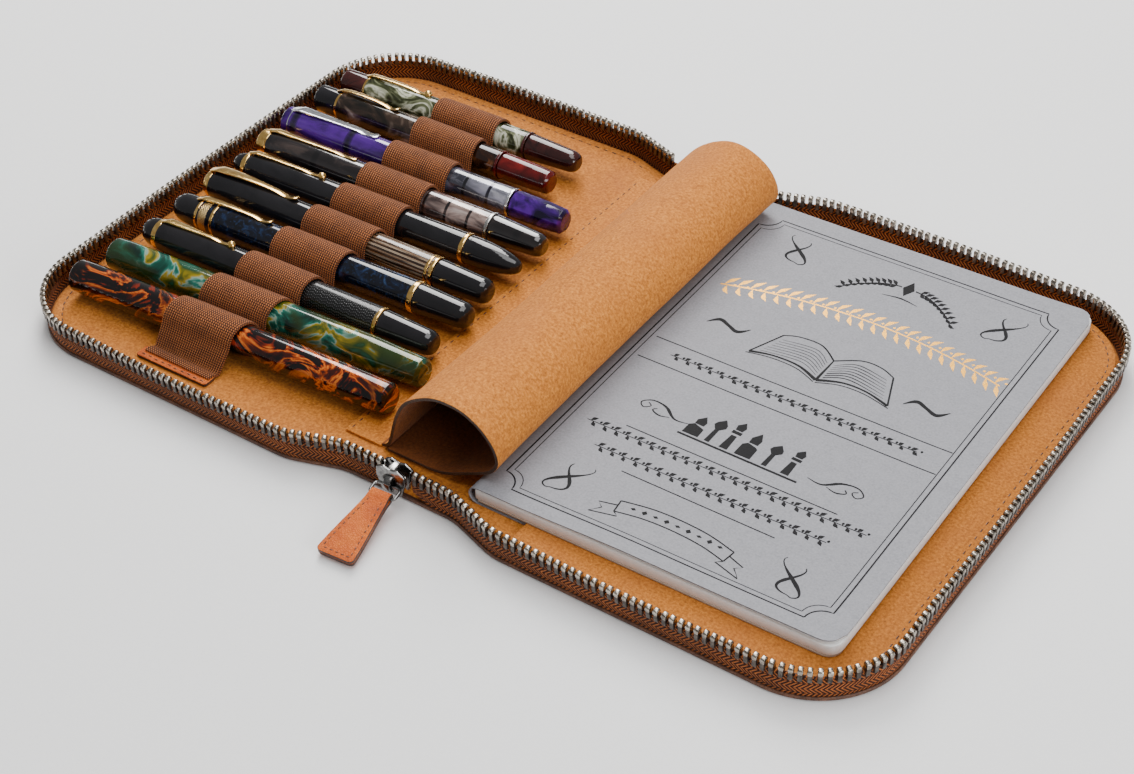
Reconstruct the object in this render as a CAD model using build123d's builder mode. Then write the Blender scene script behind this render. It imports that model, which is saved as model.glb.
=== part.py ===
from build123d import *
from math import cos, hypot, radians, sin
import os

# A zip-around leather folio for ten pens and a notebook, lying open.
# Millimetres. X runs from the pen half to the notebook half, Y from front to back, Z up.
# The origin is the middle of the spine's underside.

os.makedirs("parts", exist_ok=True)

LEFT = -1
RIGHT = 1

# ---- Driving dimensions: the shell ----
HINGE_X = 15.2            # fold lines between spine and covers
LEATHER = 1.6             # outer cover thickness
BOARD = 1.2               # stiffener in each cover
LINING = 1.2
REACH = 190.0             # outer edge of a cover
HALF_LENGTH = 117.8       # front and back edges of a cover
NECK_HALF_LENGTH = 110.5  # the shell is a little shorter at the spine
NECK_X = 25.0
SHOULDER_X = 47.0
NECK_RADIUS = 26.0
CORNER_RADIUS = 34.0
FOLD_GAP = 0.5            # leather edge to fold line
LAYER_GAP = 1.5           # board and lining edge to fold line

# ---- Driving dimensions: the zipper ----
TAPE = 0.9                # tape thickness
TAPE_MARGIN = 7.0         # width sewn under the lining
TAPE_TOP = 11.2
CHAIN_TOP = 15.4
CHAIN_BOTTOM = 10.0
WALL_LEAN = 2.2           # how far the top of the chain stands outside the base
TOOTH_PITCH = 3.1
TOOTH_WIDTH = 2.0
TOOTH_HALF_BASE = 1.35
TOOTH_HALF_TOP = 1.0
TOOTH_SLOT = 0.5
CHAIN_START = 20.0        # along the edge, from the fold line at the front
CHAIN_END = 6.0           # and at the back
GUSSET_END = 1.6          # from the fold line to the tape in the spine
SLIDER_HALF_WIDTH = 6.5

# ---- Driving dimensions: what is sewn inside ----
LINING_TOP = LEATHER + BOARD + LINING
CREASE_X = -19.0          # where the flap rises from its sewn strip
FLAP = 1.4
FLAP_FRONT = -97.0
FLAP_BACK = 101.0
ROOT_X = -36.0            # stitch line of the flap
REST_GAP = 0.1
BAND_FRONT = -101.0
BAND_BACK = 97.0
BAND_LEFT = -131.0
BAND_RIGHT = -99.0
BAND_BASE = 1.0
WEB = 1.0                 # elastic webbing thickness
LOOP_CLEARANCE = 0.3
TAB_DEPTH = 6.0
TAB_THICKNESS = 1.6
POCKET_X = 50.0
POCKET = 1.0

# ---- Driving dimensions: the notebook, A5 ----
NOTEBOOK_X = 25.0
NOTEBOOK_WIDTH = 148.0
NOTEBOOK_FRONT = -102.0
NOTEBOOK_LENGTH = 210.0
NOTEBOOK_TURN = 1.0       # degrees, turned in its pocket
NOTEBOOK_RADIUS = 7.0
CARD = 0.4
BACK_CARD_Z = 4.2
PAGES_Z = 6.0
FRONT_CARD_Z = 11.2

# ---- Driving dimensions: the pens ----
PEN_Z = 12.5
# name: cap end x, y; barrel end x, y; cap radius; barrel radius; cap length; end radius; clip length
PENS = {
    "01": (-180, -89, -26, -81, 7.1, 6.9, 66, 6.4, 0),
    "02": (-178, -70, -25, -62, 7.1, 6.9, 64, 6.0, 0),
    "03": (-180, -50, -32, -46, 6.9, 6.3, 63, 5.2, 40),
    "04": (-181, -30, -31, -25, 7.0, 6.5, 64, 5.4, 42),
    "05": (-182, -10, -34, -8, 6.8, 6.3, 64, 5.4, 45),
    "06": (-182, 8, -34, 12, 6.8, 6.3, 62, 4.2, 42),
    "07": (-182, 26, -34, 29, 6.9, 6.3, 64, 5.0, 46),
    "08": (-184, 45, -37, 48, 6.9, 6.2, 62, 5.4, 46),
    "09": (-184, 67.5, -58, 68, 6.5, 6.0, 60, 5.0, 38),
    "10": (-183, 84.5, -57, 86.5, 6.4, 5.9, 60, 4.8, 38),
}
PEN_SEAM = 0.1            # between the cap lip and the barrel shoulder
RING_WIDTH = 1.6
RING_PROUD = 0.25
CLIP_WIDTH = 2.6
CLIP_THICKNESS = 0.9
CLIP_ROLL = 35.0          # degrees from the top towards the back
CLIP_START = 6.0          # from the cap's end
CLIP_FOOT = 3.0           # length that stands on the cap
CLIP_AIR = 0.5            # clip's underside above the cap
CAP_TAPER = 9.0           # from the cap's end to nearly its full radius
CAP_FULL = 24.0
CAP_CHAMFER = 1.2
BARREL_TAPER = 25.0       # from the barrel ring to the pen's end
BARREL_CONE = 10.0        # from the start of the last cone to the end
BARREL_ROUND = 1.4
LOOP_OVERRUN = 8.0        # loops are cut to the band's edges from longer tubes


def save(piece, name):
    piece.part.label = name
    export_step(piece.part, f"parts/{name}.step")


def edge_points(side):
    """The shell's edge in plan, from the front fold line round the outside to the back one."""
    quarter = [
        (HINGE_X, -NECK_HALF_LENGTH),
        (NECK_X, -NECK_HALF_LENGTH),
        (SHOULDER_X, -HALF_LENGTH),
        (REACH, -HALF_LENGTH),
    ]
    front = [(side * x, y) for x, y in quarter]
    back = [(side * x, -y) for x, y in reversed(quarter)]
    return front + back


EDGE_RADII = [NECK_RADIUS, NECK_RADIUS, CORNER_RADIUS, CORNER_RADIUS, NECK_RADIUS, NECK_RADIUS]


def cover_plate(side, inset, fold_gap, bottom, thickness):
    """A flat layer of one cover, set in from the shell's edge and clear of the fold line."""
    with BuildPart() as plate:
        with BuildSketch(Plane.XY.offset(bottom)):
            with BuildLine():
                edge = FilletPolyline(*edge_points(side), radius=EDGE_RADII)
                Line(edge @ 1, edge @ 0)
            make_face()
            if inset > 0:
                offset(amount=-inset)
            with Locations((side * (HINGE_X + fold_gap) / 2, 0)):
                Rectangle(HINGE_X + fold_gap, 2 * HALF_LENGTH, mode=Mode.SUBTRACT)
        extrude(amount=thickness)
    return plate


def lean(z):
    """Outward lean of the zipper wall at a height."""
    return WALL_LEAN * (z - LEATHER) / (CHAIN_TOP - LEATHER)


def middle(z):
    """Middle of the tape's thickness, outward from the shell's edge."""
    return lean(z) - TAPE / 2


def wall_section(margin):
    """Outward and upward corners of the tape: a sewn margin and a leaning wall."""
    foot = LEATHER
    return [
        (-margin, foot),
        (0, foot),
        (lean(TAPE_TOP), TAPE_TOP),
        (lean(TAPE_TOP) - TAPE, TAPE_TOP),
        (-TAPE, foot + TAPE),
        (-margin, foot + TAPE),
    ]


def section_plane(point, outward):
    """A plane across the edge, with its x outward and its y up."""
    normal = Vector(*outward).cross(Vector(0, 0, 1))
    return Plane(origin=point, x_dir=outward, z_dir=normal)


def edge_plane(path, side, place):
    tangent = path % place
    return section_plane(path @ place, (side * tangent.Y, -side * tangent.X, 0))


def edge_path(side):
    with BuildLine() as line:
        FilletPolyline(*edge_points(side), radius=EDGE_RADII)
    return line.wire()


def zipper_tape(side):
    path = edge_path(side)
    length = path.length
    trimmed = path.trim(FOLD_GAP / length, 1 - FOLD_GAP / length)
    with BuildPart() as tape:
        with BuildSketch(edge_plane(trimmed, side, 0)):
            Polygon(*wall_section(TAPE_MARGIN), align=None)
        sweep(path=trimmed, transition=Transition.RIGHT)
    return tape


def tooth_outline():
    """A tooth across the chain: two legs that hold the tape's edge, and a narrower head."""
    slot_top = TAPE_TOP + REST_GAP
    low = middle(CHAIN_BOTTOM)
    inner = middle(slot_top)
    top = middle(CHAIN_TOP)
    return [
        (low - TOOTH_HALF_BASE, CHAIN_BOTTOM),
        (low - TOOTH_SLOT, CHAIN_BOTTOM),
        (inner - TOOTH_SLOT, slot_top),
        (inner + TOOTH_SLOT, slot_top),
        (low + TOOTH_SLOT, CHAIN_BOTTOM),
        (low + TOOTH_HALF_BASE, CHAIN_BOTTOM),
        (top + TOOTH_HALF_TOP, CHAIN_TOP),
        (top - TOOTH_HALF_TOP, CHAIN_TOP),
    ]


def teeth_on(planes):
    with BuildPart() as teeth:
        for plane in planes:
            with BuildSketch(plane):
                Polygon(*tooth_outline(), align=None)
        extrude(amount=TOOTH_WIDTH / 2, both=True)
    return teeth


def zipper_teeth(side, shift):
    """One tooth chain; the two chains are half a pitch apart, so that they can mesh."""
    path = edge_path(side)
    room = path.length - CHAIN_START - CHAIN_END - shift
    count = int(room / TOOTH_PITCH)
    places = [(CHAIN_START + shift + n * TOOTH_PITCH) / path.length for n in range(count)]
    return teeth_on([edge_plane(path, side, place) for place in places])


def gusset_tape(end, half_gap):
    """The zipper's tape across one end of the spine."""
    y = end * NECK_HALF_LENGTH
    outer = HINGE_X - GUSSET_END
    with BuildPart() as tape:
        with BuildSketch(section_plane((-outer, y, 0), (0, end, 0))) as section:
            Polygon(*wall_section(2 * TAPE), align=None)
        extrude(section.sketch, amount=2 * outer, dir=(1, 0, 0))
        if half_gap > 0:
            Box(2 * half_gap, 4 * HALF_LENGTH, 4 * CHAIN_TOP, mode=Mode.SUBTRACT)
    return tape


# ---- The shell ----
outer_cover_left = cover_plate(LEFT, 0, FOLD_GAP, 0, LEATHER)
save(outer_cover_left, "outer_cover_left")
outer_cover_right = cover_plate(RIGHT, 0, FOLD_GAP, 0, LEATHER)
save(outer_cover_right, "outer_cover_right")

BOARD_INSET = TAPE_MARGIN + REST_GAP
stiffener_left = cover_plate(LEFT, BOARD_INSET, LAYER_GAP, LEATHER, BOARD)
save(stiffener_left, "stiffener_left")
stiffener_right = cover_plate(RIGHT, BOARD_INSET, LAYER_GAP, LEATHER, BOARD)
save(stiffener_right, "stiffener_right")

LINING_INSET = TAPE + REST_GAP
lining_left = cover_plate(LEFT, LINING_INSET, LAYER_GAP, LEATHER + BOARD, LINING)
save(lining_left, "lining_left")
lining_right = cover_plate(RIGHT, LINING_INSET, LAYER_GAP, LEATHER + BOARD, LINING)
save(lining_right, "lining_right")

with BuildPart() as spine_cover:
    with BuildSketch():
        Rectangle(2 * (HINGE_X - FOLD_GAP), 2 * NECK_HALF_LENGTH)
    extrude(amount=LEATHER)
save(spine_cover, "spine_cover")

with BuildPart() as spine_lining:
    with BuildSketch(Plane.XY.offset(LEATHER)):
        Rectangle(2 * (HINGE_X - LAYER_GAP), 2 * (NECK_HALF_LENGTH - 2 * TAPE - REST_GAP))
    extrude(amount=LINING)
save(spine_lining, "spine_lining")

# ---- The zipper ----
zipper_tape_left = zipper_tape(LEFT)
save(zipper_tape_left, "zipper_tape_left")
zipper_tape_right = zipper_tape(RIGHT)
save(zipper_tape_right, "zipper_tape_right")
zipper_teeth_left = zipper_teeth(LEFT, 0)
save(zipper_teeth_left, "zipper_teeth_left")
zipper_teeth_right = zipper_teeth(RIGHT, TOOTH_PITCH / 2)
save(zipper_teeth_right, "zipper_teeth_right")

gusset_tape_front = gusset_tape(-1, SLIDER_HALF_WIDTH + REST_GAP)
save(gusset_tape_front, "gusset_tape_front")
gusset_tape_back = gusset_tape(1, 0)
save(gusset_tape_back, "gusset_tape_back")

GUSSET_TEETH = int((HINGE_X + CHAIN_START - SLIDER_HALF_WIDTH) / TOOTH_PITCH) - 1
gusset_planes = []
for side in (LEFT, RIGHT):
    near_path = edge_path(side)
    for n in range(GUSSET_TEETH):
        along = CHAIN_START - (n + 1) * TOOTH_PITCH
        if along > 0:
            gusset_planes.append(edge_plane(near_path, side, along / near_path.length))
        else:
            start = (side * (HINGE_X + along), -NECK_HALF_LENGTH, 0)
            gusset_planes.append(section_plane(start, (0, -1, 0)))
gusset_teeth_front = teeth_on(gusset_planes)
save(gusset_teeth_front, "gusset_teeth_front")

STOP_WIDTH = 2.4
STOP_AT = 3.2             # from the fold line


def zip_stop(side):
    """The folded metal stop that ends a chain at the back of the spine."""
    x = side * (HINGE_X + STOP_AT)
    with BuildPart() as stop:
        with BuildSketch(section_plane((x, NECK_HALF_LENGTH, 0), (0, 1, 0))):
            Polygon(*tooth_outline(), align=None)
        extrude(amount=STOP_WIDTH / 2, both=True)
    return stop


zip_stop_left = zip_stop(LEFT)
save(zip_stop_left, "zip_stop_left")
zip_stop_right = zip_stop(RIGHT)
save(zip_stop_right, "zip_stop_right")

# ---- The slider stands at the front end of the spine, its mouth up ----
SLIDER_Y = -(NECK_HALF_LENGTH + middle((CHAIN_BOTTOM + CHAIN_TOP) / 2))
SLIDER_TAIL_Z = 4.2
SLIDER_MOUTH_Z = 16.4
SLIDER_TAIL_HALF = 4.4
PLATE_GAP = 1.9           # half the space between the two plates
PLATE = 1.1
POST_HALF = 1.2
POST_HEIGHT = 3.0
FLANGE_DEPTH = 0.4
FLANGE = 0.9
BAIL_HALF = 1.4
BAIL_LOW_Z = 6.4
BAIL_HIGH_Z = 13.4
BAIL_ROOM = 1.9
BAIL_METAL = 0.9


def plate_face(y):
    """The shield-shaped face of a slider plate in an upright plane."""
    with BuildSketch(Plane.XZ.offset(-y)) as face:
        with BuildLine():
            Polyline(
                (-SLIDER_TAIL_HALF, SLIDER_TAIL_Z),
                (SLIDER_TAIL_HALF, SLIDER_TAIL_Z),
                (SLIDER_HALF_WIDTH, SLIDER_MOUTH_Z - 2 * POST_HEIGHT),
                (SLIDER_HALF_WIDTH, SLIDER_MOUTH_Z - POST_HEIGHT / 2),
                (0, SLIDER_MOUTH_Z),
                (-SLIDER_HALF_WIDTH, SLIDER_MOUTH_Z - POST_HEIGHT / 2),
                (-SLIDER_HALF_WIDTH, SLIDER_MOUTH_Z - 2 * POST_HEIGHT),
                close=True,
            )
        make_face()
    return face.sketch


OUTER_FACE_Y = SLIDER_Y - PLATE_GAP - PLATE
with BuildPart() as slider_body:
    extrude(plate_face(SLIDER_Y - PLATE_GAP), amount=PLATE)
    extrude(plate_face(SLIDER_Y + PLATE_GAP + PLATE), amount=PLATE)
    with BuildSketch(Plane.XZ.offset(-SLIDER_Y)):
        with Locations((0, SLIDER_MOUTH_Z - POST_HEIGHT / 2 - 0.5)):
            Rectangle(2 * POST_HALF, POST_HEIGHT)
    extrude(amount=PLATE_GAP, both=True)
    for flange_y in (SLIDER_Y - PLATE_GAP + FLANGE_DEPTH / 2, SLIDER_Y + PLATE_GAP - FLANGE_DEPTH / 2):
        with Locations(
            (SLIDER_HALF_WIDTH - FLANGE / 2, flange_y, SLIDER_MOUTH_Z - 1.25 * POST_HEIGHT),
            (-SLIDER_HALF_WIDTH + FLANGE / 2, flange_y, SLIDER_MOUTH_Z - 1.25 * POST_HEIGHT),
        ):
            Box(FLANGE, FLANGE_DEPTH, POST_HEIGHT)
save(slider_body, "slider_body")

with BuildPart() as slider_bail:
    with BuildSketch(Plane.YZ):
        with BuildLine():
            Polyline(
                (OUTER_FACE_Y, BAIL_LOW_Z),
                (OUTER_FACE_Y - BAIL_ROOM - BAIL_METAL, BAIL_LOW_Z + BAIL_METAL),
                (OUTER_FACE_Y - BAIL_ROOM - BAIL_METAL, BAIL_HIGH_Z - 3 * BAIL_METAL),
                (OUTER_FACE_Y, BAIL_HIGH_Z),
                (OUTER_FACE_Y, BAIL_HIGH_Z - 2 * BAIL_METAL),
                (OUTER_FACE_Y - BAIL_ROOM, BAIL_HIGH_Z - 4 * BAIL_METAL),
                (OUTER_FACE_Y - BAIL_ROOM, BAIL_LOW_Z + 2 * BAIL_METAL),
                (OUTER_FACE_Y, BAIL_LOW_Z + BAIL_METAL),
                close=True,
            )
        make_face()
    extrude(amount=BAIL_HALF, both=True)
save(slider_bail, "slider_bail")

# ---- The pull: a wire link through the bail and a doubled leather tab ----
WIRE = 1.2
PIVOT_Y = OUTER_FACE_Y - BAIL_ROOM / 2
PIVOT_Z = 9.1
PULL_DROP = 11.0          # degrees below level, so that the tab's end rests on the table
PULL_SKEW = 4.0           # degrees, the tab lies a little to the left
LINK_HALF = 5.6
LINK_REACH = 5.2
TAB_START = 3.4
TAB_LENGTH = 32.0
TAB_ROOT_HALF = 4.3
TAB_END_HALF = 7.7
PULL_THICKNESS = 2.8
BORE = 1.0
pull_plane = Plane(
    origin=(0, PIVOT_Y, PIVOT_Z),
    x_dir=(cos(radians(PULL_SKEW)), sin(radians(PULL_SKEW)), 0),
    z_dir=(0, -sin(radians(PULL_DROP)), cos(radians(PULL_DROP))),
)

with BuildPart() as pull_link:
    with BuildLine(pull_plane):
        loop = FilletPolyline(
            (-LINK_HALF, 0),
            (-LINK_HALF, -LINK_REACH),
            (LINK_HALF, -LINK_REACH),
            (LINK_HALF, 0),
            radius=1.4,
            close=True,
        )
    with BuildSketch(Plane(origin=loop @ 0, z_dir=loop % 0)):
        Circle(WIRE / 2)
    sweep()
save(pull_link, "pull_link")

with BuildPart() as pull_tab:
    with BuildSketch(pull_plane) as tab_face:
        Polygon(
            (-TAB_ROOT_HALF, -TAB_START),
            (TAB_ROOT_HALF, -TAB_START),
            (TAB_END_HALF, -TAB_START - TAB_LENGTH),
            (-TAB_END_HALF, -TAB_START - TAB_LENGTH),
            align=None,
        )
        far_corners = tab_face.vertices().sort_by(Axis.Y)[:2]
        fillet(far_corners, radius=1.6)
    extrude(amount=PULL_THICKNESS / 2, both=True)
    across = Plane(origin=pull_plane.from_local_coords((0, -LINK_REACH, 0)), z_dir=pull_plane.x_dir)
    with BuildSketch(across):
        Circle(BORE)
    extrude(amount=TAB_END_HALF, both=True, mode=Mode.SUBTRACT)
save(pull_tab, "pull_tab")

# ---- The flap: a leather sheet rolled back over the spine ----
ROLL = [
    (CREASE_X, LINING_TOP + REST_GAP + FLAP),
    (-5, 34),
    (13.5, 43.5),
    (35, 33.5),
    (35.5, 19.8),
    (6.5, LINING_TOP + REST_GAP),
    (-13.5, LINING_TOP + REST_GAP),
]
ROLL_RADII = [16, 18, 12, 9, 14]
with BuildPart() as flap:
    with BuildSketch(Plane.XZ.offset(-FLAP_BACK)):
        with BuildLine():
            FilletPolyline(*ROLL, radius=ROLL_RADII)
            offset(amount=FLAP, side=Side.RIGHT)
        make_face()
    extrude(amount=FLAP_BACK - FLAP_FRONT)
save(flap, "flap")

with BuildPart() as flap_root:
    with BuildSketch(Plane.XY.offset(LINING_TOP + REST_GAP)):
        with Locations(((ROOT_X + CREASE_X) / 2, (FLAP_FRONT + FLAP_BACK) / 2)):
            Rectangle(CREASE_X - ROOT_X - 2 * REST_GAP, FLAP_BACK - FLAP_FRONT)
    extrude(amount=FLAP)
save(flap_root, "flap_root")


# ---- The pens ----
def pen_plane(pen):
    """Across the pen at its cap end, with the plane's normal along the pen."""
    x0, y0, x1, y1 = pen[:4]
    return Plane(origin=(x0, y0, PEN_Z), x_dir=(0, 0, 1), z_dir=(x1 - x0, y1 - y0, 0))


def pen_length(pen):
    x0, y0, x1, y1 = pen[:4]
    return hypot(x1 - x0, y1 - y0)


def turned(pen, profile):
    """A turned solid on the pen's axis, from points of distance along it and radius."""
    plane = pen_plane(pen)
    side_on = Plane(origin=plane.origin, x_dir=plane.z_dir, z_dir=plane.y_dir)
    with BuildPart() as solid:
        with BuildSketch(side_on):
            with BuildLine():
                Polyline(*profile)
                Line(profile[-1], profile[0])
            make_face()
        revolve(axis=Axis(plane.origin, plane.z_dir))
    return solid


def pen_cap(pen):
    cap_radius, _, cap_length, end_radius, _ = pen[4:]
    end = min(end_radius + 0.6, cap_radius - 0.4)
    profile = [
        (0, 0),
        (0, end - CAP_CHAMFER),
        (CAP_CHAMFER, end),
        (CAP_TAPER, cap_radius - 0.3),
        (CAP_FULL, cap_radius),
        (cap_length, cap_radius),
        (cap_length, 0),
    ]
    return turned(pen, profile)


def pen_barrel(pen):
    _, barrel_radius, cap_length, end_radius, _ = pen[4:]
    start = cap_length + PEN_SEAM
    length = pen_length(pen)
    profile = [
        (start, 0),
        (start, barrel_radius),
        (length - BARREL_TAPER, barrel_radius),
        (length - BARREL_CONE, end_radius),
        (length - BARREL_ROUND, end_radius - 0.9),
        (length, end_radius - 2.4),
        (length, 0),
    ]
    return turned(pen, profile)


def ring_face(pen, at, radius):
    with BuildSketch(pen_plane(pen).offset(at)) as face:
        Circle(radius + RING_PROUD)
        Circle(radius + 0.02, mode=Mode.SUBTRACT)
    return face.sketch


def pen_trim(pen):
    """Gold rings on the cap's lip and the barrel, and the clip, as separate solids."""
    cap_radius, barrel_radius, cap_length, _, clip_length = pen[4:]
    length = pen_length(pen)
    low = cap_radius + CLIP_AIR
    with BuildPart() as trim:
        extrude(ring_face(pen, cap_length - 2 * RING_WIDTH, cap_radius), amount=RING_WIDTH)
        extrude(ring_face(pen, length - BARREL_TAPER - RING_WIDTH, barrel_radius), amount=RING_WIDTH)
        plane = pen_plane(pen)
        rolled = plane.x_dir * cos(radians(CLIP_ROLL)) - plane.y_dir * sin(radians(CLIP_ROLL))
        with BuildSketch(Plane(origin=plane.origin, x_dir=plane.z_dir, z_dir=plane.z_dir.cross(rolled))):
            Polygon(
                (CLIP_START, cap_radius + 0.05),
                (CLIP_START + CLIP_FOOT, cap_radius + 0.05),
                (CLIP_START + CLIP_FOOT, low),
                (clip_length, low),
                (clip_length, low + CLIP_THICKNESS),
                (CLIP_START, low + CLIP_THICKNESS),
                align=None,
            )
        extrude(amount=CLIP_WIDTH / 2, both=True)
    return trim


for number, pen in PENS.items():
    save(pen_cap(pen), f"pen_{number}_cap")
    save(pen_barrel(pen), f"pen_{number}_barrel")
    if pen[-1] > 0:
        save(pen_trim(pen), f"pen_{number}_trim")

# ---- The elastic band: a flat strip with a loop round each pen ----
with BuildPart() as elastic_band:
    with BuildSketch(Plane.XY.offset(LINING_TOP)):
        with Locations(((BAND_LEFT + BAND_RIGHT) / 2, (BAND_FRONT + BAND_BACK) / 2)):
            Rectangle(BAND_RIGHT - BAND_LEFT, BAND_BACK - BAND_FRONT)
    extrude(amount=BAND_BASE)
    for pen in PENS.values():
        reach = BAND_LEFT - LOOP_OVERRUN - pen[0]
        with BuildSketch(pen_plane(pen).offset(reach)):
            Circle(pen[4] + LOOP_CLEARANCE + WEB)
        extrude(amount=BAND_RIGHT - BAND_LEFT + 2 * LOOP_OVERRUN)
    with BuildSketch(Plane.YZ.offset(BAND_LEFT)):
        with Locations(((BAND_FRONT + BAND_BACK) / 2, LINING_TOP + 20)):
            Rectangle(BAND_BACK - BAND_FRONT, 40)
    extrude(amount=BAND_RIGHT - BAND_LEFT, mode=Mode.INTERSECT)
    for pen in PENS.values():
        with BuildSketch(pen_plane(pen)):
            Circle(pen[4] + LOOP_CLEARANCE)
        extrude(amount=pen_length(pen), mode=Mode.SUBTRACT)
save(elastic_band, "elastic_band")


def end_tab(y):
    """A small sewn leather tab that covers one end of the band."""
    with BuildPart() as tab:
        with BuildSketch(Plane.XY.offset(LINING_TOP)) as face:
            with Locations(((BAND_LEFT + BAND_RIGHT) / 2, y)):
                Rectangle(BAND_RIGHT - BAND_LEFT + 3, TAB_DEPTH)
            fillet(face.vertices(), radius=1.2)
        extrude(amount=TAB_THICKNESS)
    return tab


elastic_end_tab_front = end_tab(BAND_FRONT - TAB_DEPTH / 2 - REST_GAP)
save(elastic_end_tab_front, "elastic_end_tab_front")
elastic_end_tab_back = end_tab(BAND_BACK + TAB_DEPTH / 2 + REST_GAP)
save(elastic_end_tab_back, "elastic_end_tab_back")

# ---- The notebook and its pocket ----
POCKET_EDGE = REACH - 5.0
POCKET_HALF = HALF_LENGTH - 3.5
POCKET_CORNER = CORNER_RADIUS - 5.0
HEM = 2.6
PANEL_Z = BACK_CARD_Z + CARD + REST_GAP


def pocket_outline(z):
    """The pocket's panel in plan, square at its open edge and rounded at the other."""
    with BuildSketch(Plane.XY.offset(z)) as outline:
        with Locations(((POCKET_X + POCKET_EDGE) / 2, 0)):
            Rectangle(POCKET_EDGE - POCKET_X, 2 * POCKET_HALF)
        fillet(outline.vertices().group_by(Axis.X)[-1], radius=POCKET_CORNER)
    return outline.sketch


with BuildPart() as notebook_pocket:
    extrude(pocket_outline(PANEL_Z), amount=POCKET)
    extrude(pocket_outline(LINING_TOP), amount=PANEL_Z - LINING_TOP)
    with BuildSketch(Plane.XY.offset(LINING_TOP)):
        with Locations(((POCKET_X + POCKET_EDGE) / 2 - HEM, 0)):
            Rectangle(POCKET_EDGE - POCKET_X, 2 * (POCKET_HALF - HEM))
    extrude(amount=PANEL_Z - LINING_TOP, mode=Mode.SUBTRACT)
save(notebook_pocket, "notebook_pocket")


def notebook_plane(z):
    turn = radians(NOTEBOOK_TURN)
    return Plane(origin=(NOTEBOOK_X, NOTEBOOK_FRONT, z), x_dir=(cos(turn), sin(turn), 0), z_dir=(0, 0, 1))


def leaf_face(z, inset, start):
    """The outline of paper or card with rounded fore-edge corners."""
    with BuildSketch(notebook_plane(z)) as face:
        with Locations(((start + NOTEBOOK_WIDTH - inset) / 2, NOTEBOOK_LENGTH / 2)):
            Rectangle(NOTEBOOK_WIDTH - inset - start, NOTEBOOK_LENGTH - 2 * inset)
        fillet(face.vertices().sort_by(Axis.X)[-2:], radius=NOTEBOOK_RADIUS)
    return face.sketch


with BuildPart() as notebook_cover:
    extrude(leaf_face(BACK_CARD_Z, 0, 0), amount=CARD)
    extrude(leaf_face(FRONT_CARD_Z, 0, 0), amount=CARD)
    with BuildSketch(notebook_plane(BACK_CARD_Z)):
        with Locations((CARD / 2, NOTEBOOK_LENGTH / 2)):
            Rectangle(CARD, NOTEBOOK_LENGTH)
    extrude(amount=FRONT_CARD_Z + CARD - BACK_CARD_Z)
save(notebook_cover, "notebook_cover")

with BuildPart() as notebook_pages:
    extrude(leaf_face(PAGES_Z, 0.5, CARD + 2.6), amount=FRONT_CARD_Z - REST_GAP - PAGES_Z)
save(notebook_pages, "notebook_pages")

THREAD = 0.8
with BuildPart() as notebook_thread:
    with BuildSketch(notebook_plane(PAGES_Z + 1.4)):
        with Locations((CARD + 1.3, NOTEBOOK_LENGTH / 2)):
            with GridLocations(0, NOTEBOOK_LENGTH / 4, 1, 3):
                Rectangle(THREAD, NOTEBOOK_LENGTH / 9)
    extrude(amount=THREAD)
save(notebook_thread, "notebook_thread")
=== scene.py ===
import bpy
import random
from math import atan2, cos, exp, hypot, pi, radians, sin, sqrt, tan
from mathutils import Matrix, Vector, noise


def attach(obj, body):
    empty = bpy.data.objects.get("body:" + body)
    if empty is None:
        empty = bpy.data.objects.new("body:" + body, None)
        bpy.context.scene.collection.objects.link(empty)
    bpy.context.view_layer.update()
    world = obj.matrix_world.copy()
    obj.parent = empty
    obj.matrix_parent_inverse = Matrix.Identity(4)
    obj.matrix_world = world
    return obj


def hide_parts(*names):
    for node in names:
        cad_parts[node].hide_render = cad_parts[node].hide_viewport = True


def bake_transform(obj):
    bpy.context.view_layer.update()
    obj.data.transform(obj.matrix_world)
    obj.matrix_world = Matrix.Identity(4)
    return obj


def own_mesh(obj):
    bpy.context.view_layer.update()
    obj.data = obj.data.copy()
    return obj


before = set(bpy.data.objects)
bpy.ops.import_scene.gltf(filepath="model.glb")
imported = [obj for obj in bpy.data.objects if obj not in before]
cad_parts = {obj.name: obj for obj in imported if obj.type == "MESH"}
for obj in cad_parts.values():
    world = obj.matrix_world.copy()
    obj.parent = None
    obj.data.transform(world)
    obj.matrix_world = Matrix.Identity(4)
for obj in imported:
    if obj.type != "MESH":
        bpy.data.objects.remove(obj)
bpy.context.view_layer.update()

MM = 0.001
LEFT, RIGHT = -1, 1
SIDES = ((LEFT, "left", "left_cover"), (RIGHT, "right", "right_cover"))

# A zip-around leather folio for ten pens and a notebook, lying open. Helpers work in millimetres
# and write metres into the meshes.

# ---- Working helpers ----


def clear_selection():
    bpy.ops.object.select_all(action="DESELECT")


def smooth_step(value, low=0.0, high=1.0):
    t = min(1.0, max(0.0, (value - low) / (high - low)))
    return t * t * (3 - 2 * t)


def mix(a, b, t):
    return a + (b - a) * t


def ripple(x, y, size, seed=0.0):
    """Smooth random value from -1 to 1 that changes over about size millimetres."""
    return noise.noise(Vector((x / size, y / size, seed * 7.3)))


def net(name, columns, rows, place, cloth=None, close=False):
    """A grid primitive whose points are carried one by one to their place, in millimetres.
    cloth is the grid's flat size in millimetres, and its UV map is in metres of cloth."""
    clear_selection()
    bpy.ops.mesh.primitive_grid_add(x_subdivisions=columns, y_subdivisions=rows, size=2)
    piece = bpy.context.object
    piece.name = piece.data.name = name
    for point in piece.data.vertices:
        u = (point.co.x + 1) / 2
        v = (point.co.y + 1) / 2
        point.co = Vector(place(u, v)) * MM
    if cloth:
        for loop in piece.data.uv_layers.active.data:
            loop.uv = (loop.uv[0] * cloth[0] * MM, loop.uv[1] * cloth[1] * MM)
    if close:
        tidy_shell(piece)
    return piece


def pick(piece):
    clear_selection()
    piece.select_set(True)
    bpy.context.view_layer.objects.active = piece


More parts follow.
